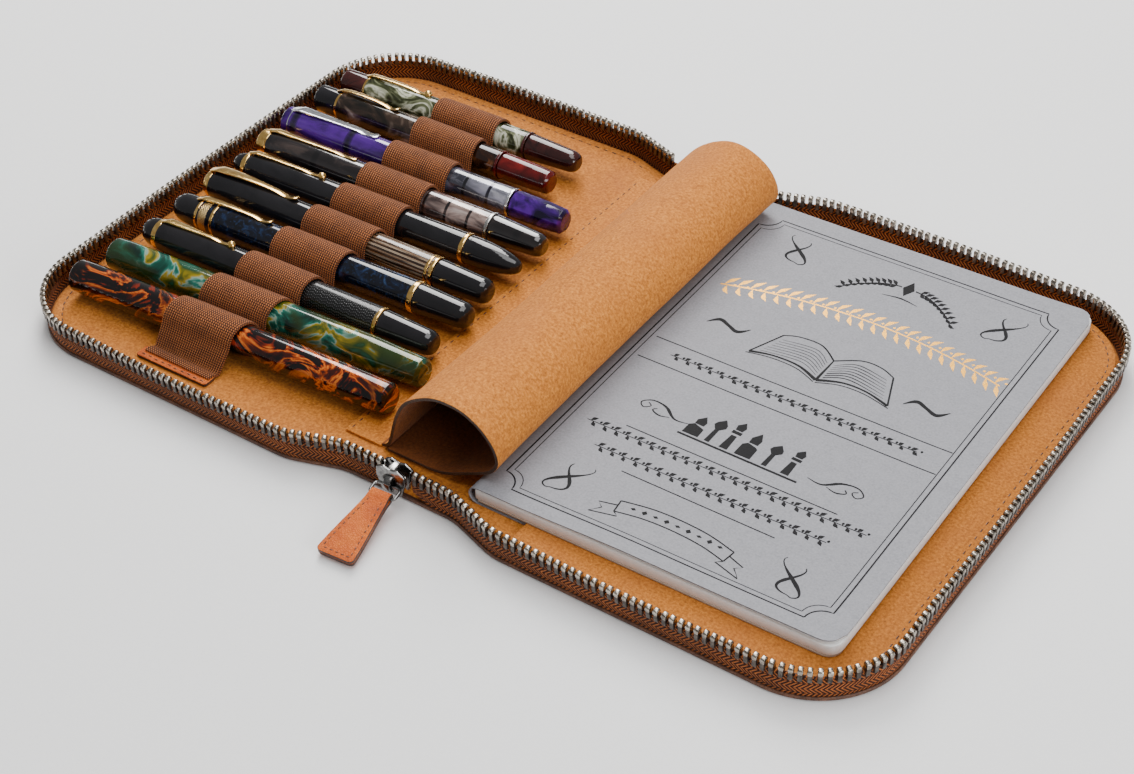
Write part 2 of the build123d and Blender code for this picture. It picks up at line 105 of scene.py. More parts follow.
def edit(piece):
    pick(piece)
    bpy.ops.object.mode_set(mode="EDIT")
    bpy.ops.mesh.select_all(action="SELECT")


def done():
    bpy.ops.object.mode_set(mode="OBJECT")


def facing_out(piece):
    """Turns a closed sheet's faces outward."""
    edit(piece)
    bpy.ops.mesh.normals_make_consistent(inside=False)
    done()


def tidy_shell(piece, gap=0.00001):
    edit(piece)
    bpy.ops.mesh.remove_doubles(threshold=gap)
    bpy.ops.mesh.normals_make_consistent(inside=False)
    done()


def apply_modifier(piece, kind, **settings):
    modifier = piece.modifiers.new(kind.lower(), kind)
    for key, value in settings.items():
        setattr(modifier, key, value)
    pick(piece)
    bpy.ops.object.modifier_apply(modifier=modifier.name)


def thicken(piece, thickness, offset=-1):
    apply_modifier(piece, "SOLIDIFY", thickness=thickness * MM, offset=offset, use_even_offset=True)


def round_edges(piece, width, segments=2, angle=40):
    apply_modifier(piece, "BEVEL", width=width * MM, segments=segments, limit_method="ANGLE",
                   angle_limit=radians(angle), harden_normals=False)


def soften(piece, angle=50):
    pick(piece)
    bpy.ops.object.shade_smooth_by_angle(angle=radians(angle))


def join(name, pieces):
    clear_selection()
    for piece in pieces:
        piece.select_set(True)
    bpy.context.view_layer.objects.active = pieces[0]
    if len(pieces) > 1:
        bpy.ops.object.join()
    joined = bpy.context.object
    joined.name = joined.data.name = name
    return joined


def carry(piece, matrix):
    """Moves a finished mesh to its place; its object stays at the origin."""
    piece.data.transform(matrix)
    piece.data.update()


def cut_out(name, outline, thickness, matrix, bevel=0.0, segments=2):
    """A flat blank cut to an outline in the local XY plane, thickened both ways, with rounded edges."""
    clear_selection()
    bpy.ops.mesh.primitive_circle_add(vertices=len(outline), radius=1, fill_type="NGON")
    piece = bpy.context.object
    piece.name = piece.data.name = name
    for point, (x, y) in zip(piece.data.vertices, outline):
        point.co = Vector((x, y, -thickness / 2)) * MM
    edit(piece)
    bpy.ops.mesh.extrude_region_move(TRANSFORM_OT_translate={"value": (0, 0, thickness * MM)})
    bpy.ops.mesh.select_all(action="SELECT")
    bpy.ops.mesh.normals_make_consistent(inside=False)
    done()
    if bevel:
        round_edges(piece, bevel, segments)
    carry(piece, matrix)
    return piece


def rounded(corners, radii, closed=True, steps=6):
    """Corner points with each corner turned by a tangent arc."""
    points = []
    count = len(corners)
    for n in range(count):
        here = Vector(corners[n])
        radius = radii[n] if isinstance(radii, (list, tuple)) else radii
        if (not closed and n in (0, count - 1)) or radius <= 0:
            points.append(tuple(here))
            continue
        before = Vector(corners[n - 1]) - here
        after = Vector(corners[(n + 1) % count]) - here
        turn = before.angle(after) if before.length > 1e-6 and after.length > 1e-6 else 0.0
        if turn < 0.05 or pi - turn < 0.01:
            points.append(tuple(here))
            continue
        cut = min(radius / tan(turn / 2), 0.49 * before.length, 0.49 * after.length)
        start = here + before.normalized() * cut
        end = here + after.normalized() * cut
        for k in range(steps + 1):
            t = k / steps
            points.append(tuple(start * (1 - t) ** 2 + here * 2 * t * (1 - t) + end * t * t))
    return points


def along(points, t):
    """Place at share t of a run of points."""
    lengths = [0.0]
    for a, b in zip(points, points[1:]):
        lengths.append(lengths[-1] + (Vector(b) - Vector(a)).length)
    want = min(max(t, 0.0), 1.0) * lengths[-1]
    for n in range(1, len(points)):
        if lengths[n] >= want or n == len(points) - 1:
            share = (want - lengths[n - 1]) / max(lengths[n] - lengths[n - 1], 1e-9)
            return Vector(points[n - 1]).lerp(Vector(points[n]), share)


def flowing(points, count):
    """Evenly spaced places on a smooth line through the points."""
    guide = [Vector(p) for p in points]
    fine = []
    for n in range(len(guide) - 1):
        a = guide[max(n - 1, 0)]
        b, c = guide[n], guide[n + 1]
        d = guide[min(n + 2, len(guide) - 1)]
        for k in range(12):
            t = k / 12
            fine.append(0.5 * ((2 * b) + (c - a) * t + (2 * a - 5 * b + 4 * c - d) * t * t
                               + (3 * b - a - 3 * c + d) * t * t * t))
    fine.append(guide[-1])
    return evenly(fine, count)


def evenly(points, count):
    """Evenly spaced places along the straight runs between points, and the length of it all."""
    run = [0.0]
    for a, b in zip(points, points[1:]):
        run.append(run[-1] + (b - a).length)
    places, k = [], 0
    for n in range(count):
        want = run[-1] * n / (count - 1)
        while k < len(run) - 2 and run[k + 1] < want:
            k += 1
        share = (want - run[k]) / max(run[k + 1] - run[k], 1e-9)
        places.append(points[k].lerp(points[k + 1], share))
    return places, run[-1]


def moved(x, y, z):
    """The matrix that moves by millimetres."""
    return Matrix.Translation(Vector((x, y, z)) * MM)


def box_line(half, low, high, radius, steps):
    """The outline of a rectangle with round corners, centred in X."""
    return rounded([(-half, low), (half, low), (half, high), (-half, high)], radius, steps=steps)


def paint(piece, *materials):
    for material in materials:
        piece.data.materials.append(material)


def lay_on(start, along_way, up):
    """The matrix that carries local X, Y, Z to a way, the direction across it, and up."""
    x = Vector(along_way).normalized()
    z = Vector(up)
    z = (z - x * z.dot(x)).normalized()
    y = z.cross(x)
    matrix = Matrix((x, y, z)).transposed().to_4x4()
    matrix.translation = Vector(start) * MM
    return matrix


def settle(piece, body, material, slot_name=None, stands_for=(), keep_materials=False):
    """Gives a piece its finish and lets it ride its body."""
    if not keep_materials:
        piece.data.materials.clear()
        paint(piece, material)
    if body:
        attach(piece, body)
    if stands_for:
        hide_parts(*stands_for)
    return piece


def dress_cad(name, material):
    """A CAD piece that still shows gets a finish of its own."""
    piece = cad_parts[name]
    piece.data.materials.clear()
    paint(piece, material)


# ---- Camera, light and floor ----


def aim_camera():
    turn, lift, tilt = radians(35.783), radians(39.626), radians(-1.464)
    back = Vector((sin(turn) * cos(lift), -cos(turn) * cos(lift), sin(lift)))
    right = Vector((0, 0, 1)).cross(back).normalized()
    up = back.cross(right)
    right, up = cos(tilt) * right + sin(tilt) * up, cos(tilt) * up - sin(tilt) * right
    lens = bpy.data.cameras.new("studio_camera")
    lens.lens = 68.615
    lens.sensor_width = 36.0
    camera = bpy.data.objects.new("studio_camera", lens)
    bpy.context.scene.collection.objects.link(camera)
    view = Matrix((right, up, back)).transposed().to_4x4()
    view.translation = Vector((0.01513, -0.02651, 0)) + back * 0.8266
    camera.matrix_world = view
    bpy.context.scene.camera = camera


def soft_box(name, place, target, width, height, power, colour=(1, 1, 1)):
    light = bpy.data.lights.new(name, "AREA")
    light.shape = "RECTANGLE"
    light.size, light.size_y = width, height
    light.energy = power
    light.color = colour
    lamp = bpy.data.objects.new(name, light)
    bpy.context.scene.collection.objects.link(lamp)
    lamp.location = place
    lamp.rotation_euler = (Vector(target) - Vector(place)).to_track_quat("-Z", "Y").to_euler()


aim_camera()
soft_box("key_light", (-0.55, 0.75, 0.95), (0, 0, 0), 0.55, 0.9, 24, (1.0, 0.985, 0.96))
soft_box("top_light", (0.1, 0.05, 1.3), (0, 0, 0), 1.0, 0.8, 13)
soft_box("side_light", (1.25, -0.40, 0.50), (0.05, 0, 0), 0.8, 0.6, 13, (0.97, 0.985, 1.0))

world = bpy.data.worlds.new("studio")
bpy.context.scene.world = world
world.use_nodes = True
world.node_tree.nodes["Background"].inputs["Color"].default_value = (1.0, 1.0, 1.0, 1)
world.node_tree.nodes["Background"].inputs["Strength"].default_value = 0.32

# ---- Finishes ----


def add(tree, kind, settings=None, **inputs):
    """A node with its settings and its inputs; an input that is a socket is linked."""
    made = tree.nodes.new("ShaderNode" + kind)
    for key, value in (settings or {}).items():
        setattr(made, key, value)
    for key, value in inputs.items():
        numbered = key[0] == "i" and key[1:].isdigit()
        socket = made.inputs[int(key[1:]) if numbered else key.replace("_", " ")]
        if isinstance(value, bpy.types.NodeSocket):
            tree.links.new(value, socket)
        else:
            socket.default_value = value
    return made


def maths(tree, way, a, b=0.0):
    return add(tree, "Math", {"operation": way}, i0=a, i1=b).outputs[0]


def finish(name, roughness=0.6, metal=0.0, coat=0.0, sheen=0.0, shine=0.5):
    material = bpy.data.materials.new(name)
    material.use_nodes = True
    tree = material.node_tree
    shader = tree.nodes["Principled BSDF"]
    shader.inputs["Roughness"].default_value = roughness
    shader.inputs["Metallic"].default_value = metal
    shader.inputs["Coat Weight"].default_value = coat
    shader.inputs["Coat Roughness"].default_value = 0.06
    shader.inputs["Sheen Weight"].default_value = sheen
    shader.inputs["Specular IOR Level"].default_value = shine
    shader.inputs["Sheen Roughness"].default_value = 0.45
    return material, tree, shader


def coordinates(tree, which="Object", scale=(1, 1, 1), turn=(0, 0, 0), shift=(0, 0, 0)):
    place = add(tree, "TexCoord").outputs[which]
    if scale == (1, 1, 1) and turn == (0, 0, 0) and shift == (0, 0, 0):
        return place
    mapping = add(tree, "Mapping", Vector=place)
    mapping.inputs["Scale"].default_value = scale
    mapping.inputs["Rotation"].default_value = turn
    mapping.inputs["Location"].default_value = shift
    return mapping.outputs[0]


def cloud(tree, place, size, detail=3.0, rough=0.5, warp=0.0):
    """Noise whose features are about size millimetres across."""
    return add(tree, "TexNoise", Vector=place, Scale=1000.0 / size, Detail=detail, Roughness=rough,
               Distortion=warp).outputs["Fac"]


def ramp(tree, value, stops):
    node = add(tree, "ValToRGB", Fac=value)
    band = node.color_ramp
    while len(band.elements) < len(stops):
        band.elements.new(0.5)
    for element, (place, colour) in zip(band.elements, stops):
        element.position = place
        element.color = tuple(colour) + (1.0,) if len(colour) == 3 else colour
    return node.outputs["Color"]


def grey(tree, value, low, high, a=0.0, b=1.0):
    """Maps low..high to a..b, held at the ends."""
    node = add(tree, "MapRange", Value=value)
    for key, number in (("From Min", low), ("From Max", high), ("To Min", a), ("To Max", b)):
        node.inputs[key].default_value = number
    return node.outputs[0]


def blend_colours(tree, share, first, second, way="MIX"):
    def colour(given):
        return given if isinstance(given, bpy.types.NodeSocket) else tuple(given) + (1.0,)
    return add(tree, "MixRGB", {"blend_type": way}, Fac=share, Color1=colour(first),
               Color2=colour(second)).outputs[0]


def relief(tree, shader, height, depth, strength=1.0, after=None):
    """Bump of a depth in millimetres."""
    node = add(tree, "Bump", Height=height, Strength=strength, Distance=depth * MM)
    if after is not None:
        tree.links.new(after, node.inputs["Normal"])
    tree.links.new(node.outputs[0], shader.inputs["Normal"])
    return node.outputs[0]


def skin(tree, shader, colour, roughness=None):
    """Feeds the shader its colour and its roughness."""
    tree.links.new(colour, shader.inputs["Base Color"])
    if roughness is not None:
        tree.links.new(roughness, shader.inputs["Roughness"])


def cloth_map(tree):
    """U and V of the piece's own map, in metres."""
    return add(tree, "SeparateXYZ", Vector=coordinates(tree, "UV")).outputs[:2]


def waves(tree, value, length):
    """A sine of -1 to 1 that repeats each length, in metres."""
    return maths(tree, "SINE", maths(tree, "MULTIPLY", value, 2 * pi / length))


def nubuck(name, dark, mid, light, warm=(0.36, 0.100, 0.016)):
    """Brushed leather: a fine nap, soft cloudy shading, small darker pores and faint scuffs."""
    material, tree, shader = finish(name, 0.86, sheen=0.06, shine=0.25)
    place = coordinates(tree)
    nap = cloud(tree, place, 1.1, 5, 0.65)
    patches = cloud(tree, place, 26, 3, 0.5, 0.4)
    base = ramp(tree, nap, [(0.30, dark), (0.50, mid), (0.72, light)])
    tinted = blend_colours(tree, grey(tree, patches, 0.46, 0.72, 0, 0.32), base, warm)
    pores = add(tree, "TexVoronoi", Vector=place, Scale=620.0).outputs["Distance"]
    dots = grey(tree, pores, 0.10, 0.26, 0.55, 0.0)
    bare = cloud(tree, place, 3.0, 2)
    dots = maths(tree, "MULTIPLY", dots, grey(tree, bare, 0.48, 0.62))
    spotted = blend_colours(tree, dots, tinted, (0.14, 0.040, 0.008))
    scuffs = cloud(tree, coordinates(tree, scale=(1, 0.16, 1), turn=(0, 0, 0.6)), 5.0, 4, 0.6)
    worn = blend_colours(tree, grey(tree, scuffs, 0.60, 0.76, 0, 0.30), spotted, light)
    skin(tree, shader, worn, grey(tree, patches, 0.3, 0.7, 0.92, 0.78))
    fine = relief(tree, shader, nap, 0.38, 0.65)
    relief(tree, shader, cloud(tree, place, 14, 2), 1.6, 0.35, fine)
    return material


def grain_leather(name, dark, mid, light, roughness=0.5, cell=1.5, coat=0.0):
    """Full-grain leather: small raised cells with creases between them."""
    material, tree, shader = finish(name, roughness, coat=coat)
    shader.inputs["Coat Roughness"].default_value = 0.35
    place = coordinates(tree)
    drift = add(tree, "TexNoise", Vector=place, Scale=400.0).outputs["Color"]
    drift = add(tree, "VectorMath", {"operation": "SCALE"}, i0=drift, Scale=0.0006).outputs[0]
    wander = add(tree, "VectorMath", {"operation": "ADD"}, i0=place, i1=drift).outputs[0]
    cells = add(tree, "TexVoronoi", {"feature": "DISTANCE_TO_EDGE"}, Vector=wander, Scale=1000.0 / cell)
    cells = cells.outputs["Distance"]
    tone = cloud(tree, place, 9, 4, 0.6)
    base = ramp(tree, tone, [(0.3, dark), (0.52, mid), (0.75, light)])
    # Creases between the cells are darkened towards the dark colour: painted shade in the creases.
    crease_shaded = blend_colours(tree, grey(tree, cells, 0.0, 0.14, 0.7, 0.0), base, dark)
    skin(tree, shader, crease_shaded, grey(tree, cells, 0.0, 0.3, min(1.0, roughness + 0.22), roughness))
    rough = relief(tree, shader, grey(tree, cells, 0.0, 0.22), 0.16, 0.8)
    relief(tree, shader, cloud(tree, place, 0.6, 3), 0.05, 0.6, rough)
    return material


def herringbone(name, dark, mid, light, rib=2.4, pick=1.0, flecks=0.35):
    """Woven tape: diagonal threads that turn back at every rib, on the piece's own cloth map."""
    material, tree, shader = finish(name, 0.80, sheen=0.03, shine=0.2)
    u, v = cloth_map(tree)
    fold = maths(tree, "PINGPONG", v, rib * MM)
    slant = maths(tree, "ADD", u, fold)
    thread = waves(tree, slant, pick * MM)
    thread = grey(tree, thread, -1, 1)
    plies = maths(tree, "SINE", maths(tree, "MULTIPLY", maths(tree, "SUBTRACT", u, fold),
                                      2 * pi / (0.55 * pick * MM)))
    plies = grey(tree, plies, -1, 1)
    woven = maths(tree, "MULTIPLY", thread, grey(tree, plies, 0, 1, 0.62, 1.0))
    seams = grey(tree, fold, 0.0, 0.30 * MM, 0.35, 1.0)
    woven = maths(tree, "MULTIPLY", woven, seams)
    base = ramp(tree, woven, [(0.08, dark), (0.45, mid), (0.95, light)])
    worn = cloud(tree, coordinates(tree), 1.4, 3, 0.6)
    pale = blend_colours(tree, maths(tree, "MULTIPLY", grey(tree, worn, 0.56, 0.70, 0, flecks), thread), base,
                         tuple(min(1.0, 1.9 * c) for c in light))
    shade = cloud(tree, coordinates(tree), 18, 2)
    skin(tree, shader, blend_colours(tree, grey(tree, shade, 0.42, 0.7, 0, 0.35), pale, dark))
    relief(tree, shader, woven, 0.35, 0.8)
    return material


def knit(name, dark, mid, light):
    """Elastic webbing: fine rows of little slanted stitches with dark holes between them."""
    material, tree, shader = finish(name, 0.85, sheen=0.06, shine=0.25)
    u, v = cloth_map(tree)
    rows = maths(tree, "PINGPONG", v, 0.55 * MM)
    slant = maths(tree, "ADD", u, maths(tree, "MULTIPLY", rows, 0.9))
    stitch = grey(tree, waves(tree, slant, 0.95 * MM), -1, 1)
    row = grey(tree, waves(tree, v, 1.1 * MM), -1, 1)
    woven = maths(tree, "MULTIPLY", grey(tree, stitch, 0.12, 0.62), grey(tree, row, 0.05, 0.75, 0.18, 1.0))
    base = ramp(tree, woven, [(0.10, dark), (0.46, mid), (0.95, light)])
    shade = cloud(tree, coordinates(tree), 7, 3)
    skin(tree, shader, blend_colours(tree, grey(tree, shade, 0.45, 0.72, 0, 0.30), base, dark))
    relief(tree, shader, woven, 0.32, 0.9)
    return material


def plated(name, dark, light, roughness=0.22, wear=0.5):
    """Plated metal with cloudy tarnish and hairline scratches."""
    material, tree, shader = finish(name, roughness, metal=1.0)
    place = coordinates(tree)
    tarnish = cloud(tree, place, 2.6, 4, 0.6)
    skin(tree, shader, ramp(tree, tarnish, [(0.32, dark), (0.68, light)]))
    hair = cloud(tree, coordinates(tree, scale=(1, 6, 1), turn=(0, 0, 0.5)), 1.2, 3)
    tree.links.new(grey(tree, hair, 0.35, 0.7, roughness * (1 - 0.3 * wear),
                        min(1.0, roughness * (1 + wear))), shader.inputs["Roughness"])
    relief(tree, shader, hair, 0.02, 0.25)
    return material


def card_stock(name, dark, light, roughness=0.8):
    material, tree, shader = finish(name, roughness)
    place = coordinates(tree)
    fibre = cloud(tree, place, 0.9, 4, 0.6)
    mottle = cloud(tree, place, 3.5, 3, 0.55)
    base = ramp(tree, fibre, [(0.30, dark), (0.70, light)])
    both = blend_colours(tree, grey(tree, mottle, 0.40, 0.66, 0, 0.35), base, light)
    skin(tree, shader, both, grey(tree, fibre, 0.3, 0.7, roughness - 0.05, min(1.0, roughness + 0.08)))
    relief(tree, shader, fibre, 0.05, 0.4)
    return material


def leafed(name):
    """The page block: pale paper whose edges show the stacked leaves."""
    material, tree, shader = finish(name, 0.85)
    place = coordinates(tree)
    height = add(tree, "SeparateXYZ", Vector=place).outputs[2]
    wander = grey(tree, cloud(tree, coordinates(tree, scale=(0.2, 0.2, 1)), 4, 2), 0, 1, -0.06 * MM,
                  0.06 * MM)
    leaves = grey(tree, maths(tree, "SINE", maths(tree, "MULTIPLY", maths(tree, "ADD", height, wander),
                                                  2 * pi / (0.30 * MM))), -1, 1)
    gaps = maths(tree, "MULTIPLY", grey(tree, leaves, 0.0, 0.35, 0.5, 0.0),
                 grey(tree, cloud(tree, place, 2.2, 3), 0.35, 0.6))
    shadow = blend_colours(tree, gaps, (0.88, 0.87, 0.85), (0.50, 0.47, 0.43))
    skin(tree, shader, shadow, grey(tree, leaves, 0, 1, 0.92, 0.78))
    relief(tree, shader, leaves, 0.10, 0.5)
    return material


def waxed_thread(name, dark, light):
    material, tree, shader = finish(name, 0.55, coat=0.15)
    twist = cloud(tree, coordinates(tree, turn=(0.4, 0.3, 0.8)), 0.35, 2)
    skin(tree, shader, ramp(tree, twist, [(0.35, dark), (0.65, light)]),
         grey(tree, twist, 0.3, 0.7, 0.7, 0.45))
    relief(tree, shader, twist, 0.12, 0.7)
    return material


def printed(name, colour, paler, metal=0.0, roughness=0.7):
    """Ink or foil that breaks up slightly where the card's fibres stand out."""
    material, tree, shader = finish(name, roughness, metal=metal, shine=0.2)
    bitten = cloud(tree, coordinates(tree), 0.7, 4, 0.65)
    skin(tree, shader, ramp(tree, bitten, [(0.52, colour), (0.76, paler)]),
         grey(tree, bitten, 0.4, 0.7, roughness, min(1.0, roughness + 0.15)))
    relief(tree, shader, bitten, 0.03, 0.3)
    return material


lining_suede = nubuck("lining_suede", (0.25, 0.072, 0.009), (0.45, 0.150, 0.019), (0.64, 0.240, 0.040))
flap_suede = nubuck("flap_suede", (0.27, 0.078, 0.009), (0.49, 0.165, 0.020), (0.70, 0.275, 0.045),
                    (0.40, 0.122, 0.013))
# The leather's back face inside the rolled flap: its own suede colour, made far darker than the lining by
# painted shade for the inside of the roll.
shaded_flesh_side = nubuck("shaded_flesh_side", (0.10, 0.026, 0.004), (0.17, 0.048, 0.008), (0.25, 0.080, 0.015),
                    (0.12, 0.030, 0.005))
burnished_edge = grain_leather("burnished_edge", (0.018, 0.008, 0.004), (0.045, 0.018, 0.008),
                               (0.10, 0.042, 0.018), 0.42, 0.7)
cover_leather = grain_leather("cover_leather", (0.045, 0.016, 0.007), (0.115, 0.042, 0.018),
                              (0.20, 0.080, 0.035), 0.46, 1.6, 0.1)
tab_leather = grain_leather("tab_leather", (0.34, 0.050, 0.0005), (0.58, 0.108, 0.001), (0.72, 0.170, 0.004),
                            0.62, 0.9)
tape_weave = herringbone("tape_weave", (0.010, 0.002, 0.0005), (0.130, 0.028, 0.004), (0.46, 0.135, 0.028),
                         rib=2.6, pick=1.7)
elastic_knit = knit("elastic_knit", (0.020, 0.004, 0.001), (0.230, 0.062, 0.013), (0.46, 0.150, 0.040))
tooth_nickel = plated("tooth_nickel", (0.14, 0.118, 0.098), (0.52, 0.47, 0.40), 0.24)
# A darker copy of the tooth nickel: painted shade for the teeth's legs.
tooth_shadow = plated("tooth_shadow", (0.045, 0.038, 0.034), (0.17, 0.145, 0.125), 0.38)
gunmetal = plated("gunmetal", (0.10, 0.097, 0.096), (0.36, 0.35, 0.34), 0.18)
worn_nickel = plated("worn_nickel", (0.34, 0.33, 0.32), (0.68, 0.66, 0.63), 0.24)
gold_plate = plated("gold_plate", (0.70, 0.40, 0.10), (0.95, 0.66, 0.25), 0.13)
silver_plate = plated("silver_plate", (0.60, 0.61, 0.64), (0.90, 0.90, 0.92), 0.12)
grey_card = card_stock("grey_card", (0.205, 0.206, 0.226), (0.300, 0.299, 0.322))
blotter_card = card_stock("blotter_card", (0.36, 0.28, 0.21), (0.47, 0.38, 0.30))
page_leaves = leafed("page_leaves")
dark_thread = waxed_thread("dark_thread", (0.035, 0.014, 0.006), (0.13, 0.052, 0.022))
white_thread = waxed_thread("white_thread", (0.55, 0.53, 0.48), (0.82, 0.80, 0.75))
dark_ink = printed("dark_ink", (0.005, 0.005, 0.006), (0.022, 0.022, 0.025))
gold_foil = printed("gold_foil", (0.82, 0.40, 0.05), (0.92, 0.56, 0.13), 0.55, 0.36)
board_fibre = card_stock("board_fibre", (0.20, 0.13, 0.08), (0.32, 0.22, 0.14), 0.9)

floor_white = card_stock("floor_white", (0.86, 0.86, 0.86), (0.90, 0.90, 0.90), 0.9)
floor = net("studio_floor", 8, 8, lambda u, v: (mix(-2600, 2600, u), mix(-2600, 2600, v), -0.05))
paint(floor, floor_white)

# ---- The shell's edge ----

HINGE = 15.2      # from the spine's middle to each fold line
NECK = 110.5      # half the depth at the spine
HALF = 117.8      # half the depth of a cover
REACH = 190.0     # from the spine's middle to a cover's side
EDGE_CORNERS = [(HINGE, -NECK), (25, -NECK), (47, -HALF), (REACH, -HALF),
                (REACH, HALF), (47, HALF), (25, NECK), (HINGE, NECK)]
EDGE_RADII = [0, 26, 26, 34, 34, 26, 26, 0]


def edge_runs():
    """The right edge from front fold line round to the back one, as straight runs and arcs."""
    runs, at = [], Vector(EDGE_CORNERS[0])
    for n in range(1, len(EDGE_CORNERS) - 1):
        here, before, after = (Vector(EDGE_CORNERS[k]) for k in (n, n - 1, n + 1))
        way_in, way_out = (here - before).normalized(), (after - here).normalized()
        turn = atan2(way_in.x * way_out.y - way_in.y * way_out.x, way_in.dot(way_out))
        cut = EDGE_RADII[n] * tan(abs(turn) / 2)
        start = here - way_in * cut
        runs.append(("line", at, way_in, (start - at).length))
        side = 1 if turn > 0 else -1
        centre = start + Vector((-way_in.y, way_in.x)) * side * EDGE_RADII[n]
        runs.append(("arc", centre, start, EDGE_RADII[n], side, EDGE_RADII[n] * abs(turn)))
        at = here + way_out * cut
    last = Vector(EDGE_CORNERS[-1])
    runs.append(("line", at, (last - at).normalized(), (last - at).length))
    return runs


EDGE_RUNS = edge_runs()
EDGE_LENGTH = sum(run[-1] for run in EDGE_RUNS)


def edge_at(side, s):
    """Point, heading and outward way at a distance along an edge; it runs straight on past both ends."""
    rest = s
    for n, run in enumerate(EDGE_RUNS):
        last = n == len(EDGE_RUNS) - 1
        if rest <= run[-1] or last:
            if run[0] == "line":
                point, way = run[1] + run[2] * rest, run[2]
            else:
                centre, start, radius, turn = run[1:5]
                angle = turn * rest / radius
                spoke = start - centre
                spoke = Vector((spoke.x * cos(angle) - spoke.y * sin(angle),
                                spoke.x * sin(angle) + spoke.y * cos(angle)))
                point = centre + spoke
                way = Vector((-spoke.y, spoke.x)).normalized() * turn
            break
        rest -= run[-1]
    outward = Vector((way.y, -way.x))
    return Vector((side * point.x, point.y)), Vector((side * way.x, way.y)), Vector((side * outward.x,
            outward.y))


TAPE = 0.9        # the zipper tape's thickness
TAPE_TOP = 11.4
WALL_FOOT = 1.6
CHAIN_LOW, CHAIN_TOP = 9.9, 15.4


def wall_lean(side, s):
    """How far the chain stands outside the wall's foot: slack along the sides, upright at the corners."""
    point = edge_at(side, s)[0]
    x, y = abs(point.x), abs(point.y)
    slack = 0.9 + 1.5 * exp(-((x - 100) / 42) ** 2) * (y > 100) + 1.3 * exp(-(y / 60) ** 2) * (x > 180)
    slack += 0.35 * ripple(point.x, point.y, 33, side)
    return slack


def wall_wave(side, s):
    point = edge_at(side, s)[0]
    return 0.28 * ripple(point.x, point.y, 26, 3 + side) * smooth_step(abs(point.x), 20, 45)


def wall_point(side, s, z, off=0.0):
    point, _, outward = edge_at(side, s)
    share = (z - WALL_FOOT) / (CHAIN_TOP - WALL_FOOT)
    place = point + outward * (wall_lean(side, s) * share ** 1.15 + off - TAPE / 2)
    return place.x, place.y, z + wall_wave(side, s) * max(0.0, share)


# ---- Leather, board and lining ----

SHEET_START = -HINGE      # the sheets run from the middle of the spine


def spread(side, inset, columns, rows, height, name, crowd=10.0):
    """A sheet of one half, from its border in to its middle line. Rows crowd near the border."""
    def place(u, v):
        s = mix(SHEET_START, EDGE_LENGTH + HINGE, u)
        point, _, outward = edge_at(side, s)
        border = point - outward * inset
        x = side * min(max(abs(border.x), 0.0), 150.0)
        middle = Vector((x if abs(border.x) > 0.01 else 0.0, 0.0))
        if v < 0.5:
            deep = 2 * v * crowd
            here = border - outward * deep
        else:
            start = border - outward * crowd
            here = start.lerp(middle, (2 * v - 1))
            deep = crowd + (2 * v - 1) * (middle - start).length
        if abs(here.x) < 0.02:
            here.x = 0.0
        return here.x, here.y, height(here.x, here.y, deep)
    return net(name, columns, rows, place, cloth=(650, 110))


def floor_line(x):
    """Height of the lining: it drops a little over the spine, where there is no board."""
    return mix(2.95, 4.05, smooth_step(abs(x), HINGE - 3.0, HINGE + 5.0))


STITCH_IN = 4.3       # from the lining's edge in to its seam
SEAM_THREAD = 0.55    # the thickness of the sewing thread


def lining_height(x, y, deep):
    z = floor_line(x) - 0.45 + 0.16 * ripple(x, y, 38, 1) + 0.05 * ripple(x, y, 9, 2)
    z -= 0.42 * exp(-((deep - STITCH_IN) / 0.75) ** 2)
    z += 0.20 * exp(-((deep - 7.0) / 2.2) ** 2)
    z -= 1.0 * (1 - smooth_step(deep, 0.0, 1.3))
    return z


def leather_height(x, y, deep):
    return 0.85 + 0.45 * (1 - smooth_step(deep, 0.0, 1.6))


def make_half(side, tag):
    lining = spread(side, TAPE + 0.25, 420, 40, lining_height, "nubuck_" + tag, crowd=9.0)
    tidy_shell(lining)
    thicken(lining, 0.9, 0)
    soften(lining, 60)
    if side == LEFT:
        settle(lining, None, lining_suede, "lining_suede", ("lining_left", "spine_lining"))
    else:
        settle(lining, None, lining_suede, "lining_suede", ("lining_right",))
    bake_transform(lining)
    leather = spread(side, -0.7, 300, 20, leather_height, "outer_leather_" + tag, crowd=4.0)
    tidy_shell(leather)
    thicken(leather, 1.45, 0)
    round_edges(leather, 0.5, 2, 60)
    soften(leather, 60)
    settle(leather, None, cover_leather, "cover_leather",
           ("outer_cover_left",) if side == LEFT else ("outer_cover_right", "spine_cover"))
    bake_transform(leather)


for side, tag, body in SIDES:
    make_half(side, tag)
for piece_name in ("nubuck_left", "nubuck_right", "outer_leather_left", "outer_leather_right"):
    facing_out(bpy.data.objects[piece_name])

for board_name in ("stiffener_left", "stiffener_right"):
    dress_cad(board_name, board_fibre)


def stitch_row(name, places, length, width, body):
    """Sewn stitches: each a small bent thread that dives at both ends.
    places gives the start, way and up of each."""
    clear_selection()
    bpy.ops.mesh.primitive_grid_add(x_subdivisions=4, y_subdivisions=6, size=2)
    one = bpy.context.object
    for point in one.data.vertices:
        u, v = (point.co.x + 1) / 2, (point.co.y + 1) / 2
        fall = 1 - abs(2 * u - 1) ** 3
        angle = 2 * pi * v
        thick = width / 2 * (0.55 + 0.45 * fall)
        rise = (fall - 0.85) * width * 0.8
        point.co = Vector(((u - 0.5) * length, thick * cos(angle), thick * sin(angle) + rise)) * MM
    base = one.data
    merged = bpy.data.meshes.new(name)
    corners, faces = [], []
    for start, way, up in places:
        matrix = lay_on(start, way, up)
        first = len(corners)
        corners += [matrix @ point.co for point in base.vertices]
        faces += [[first + k for k in face.vertices] for face in base.polygons]
    merged.from_pydata(corners, [], faces)
    one.data = merged
    one.name = name
    tidy_shell(one)
    soften(one, 80)
    settle(one, body, dark_thread, "thread")


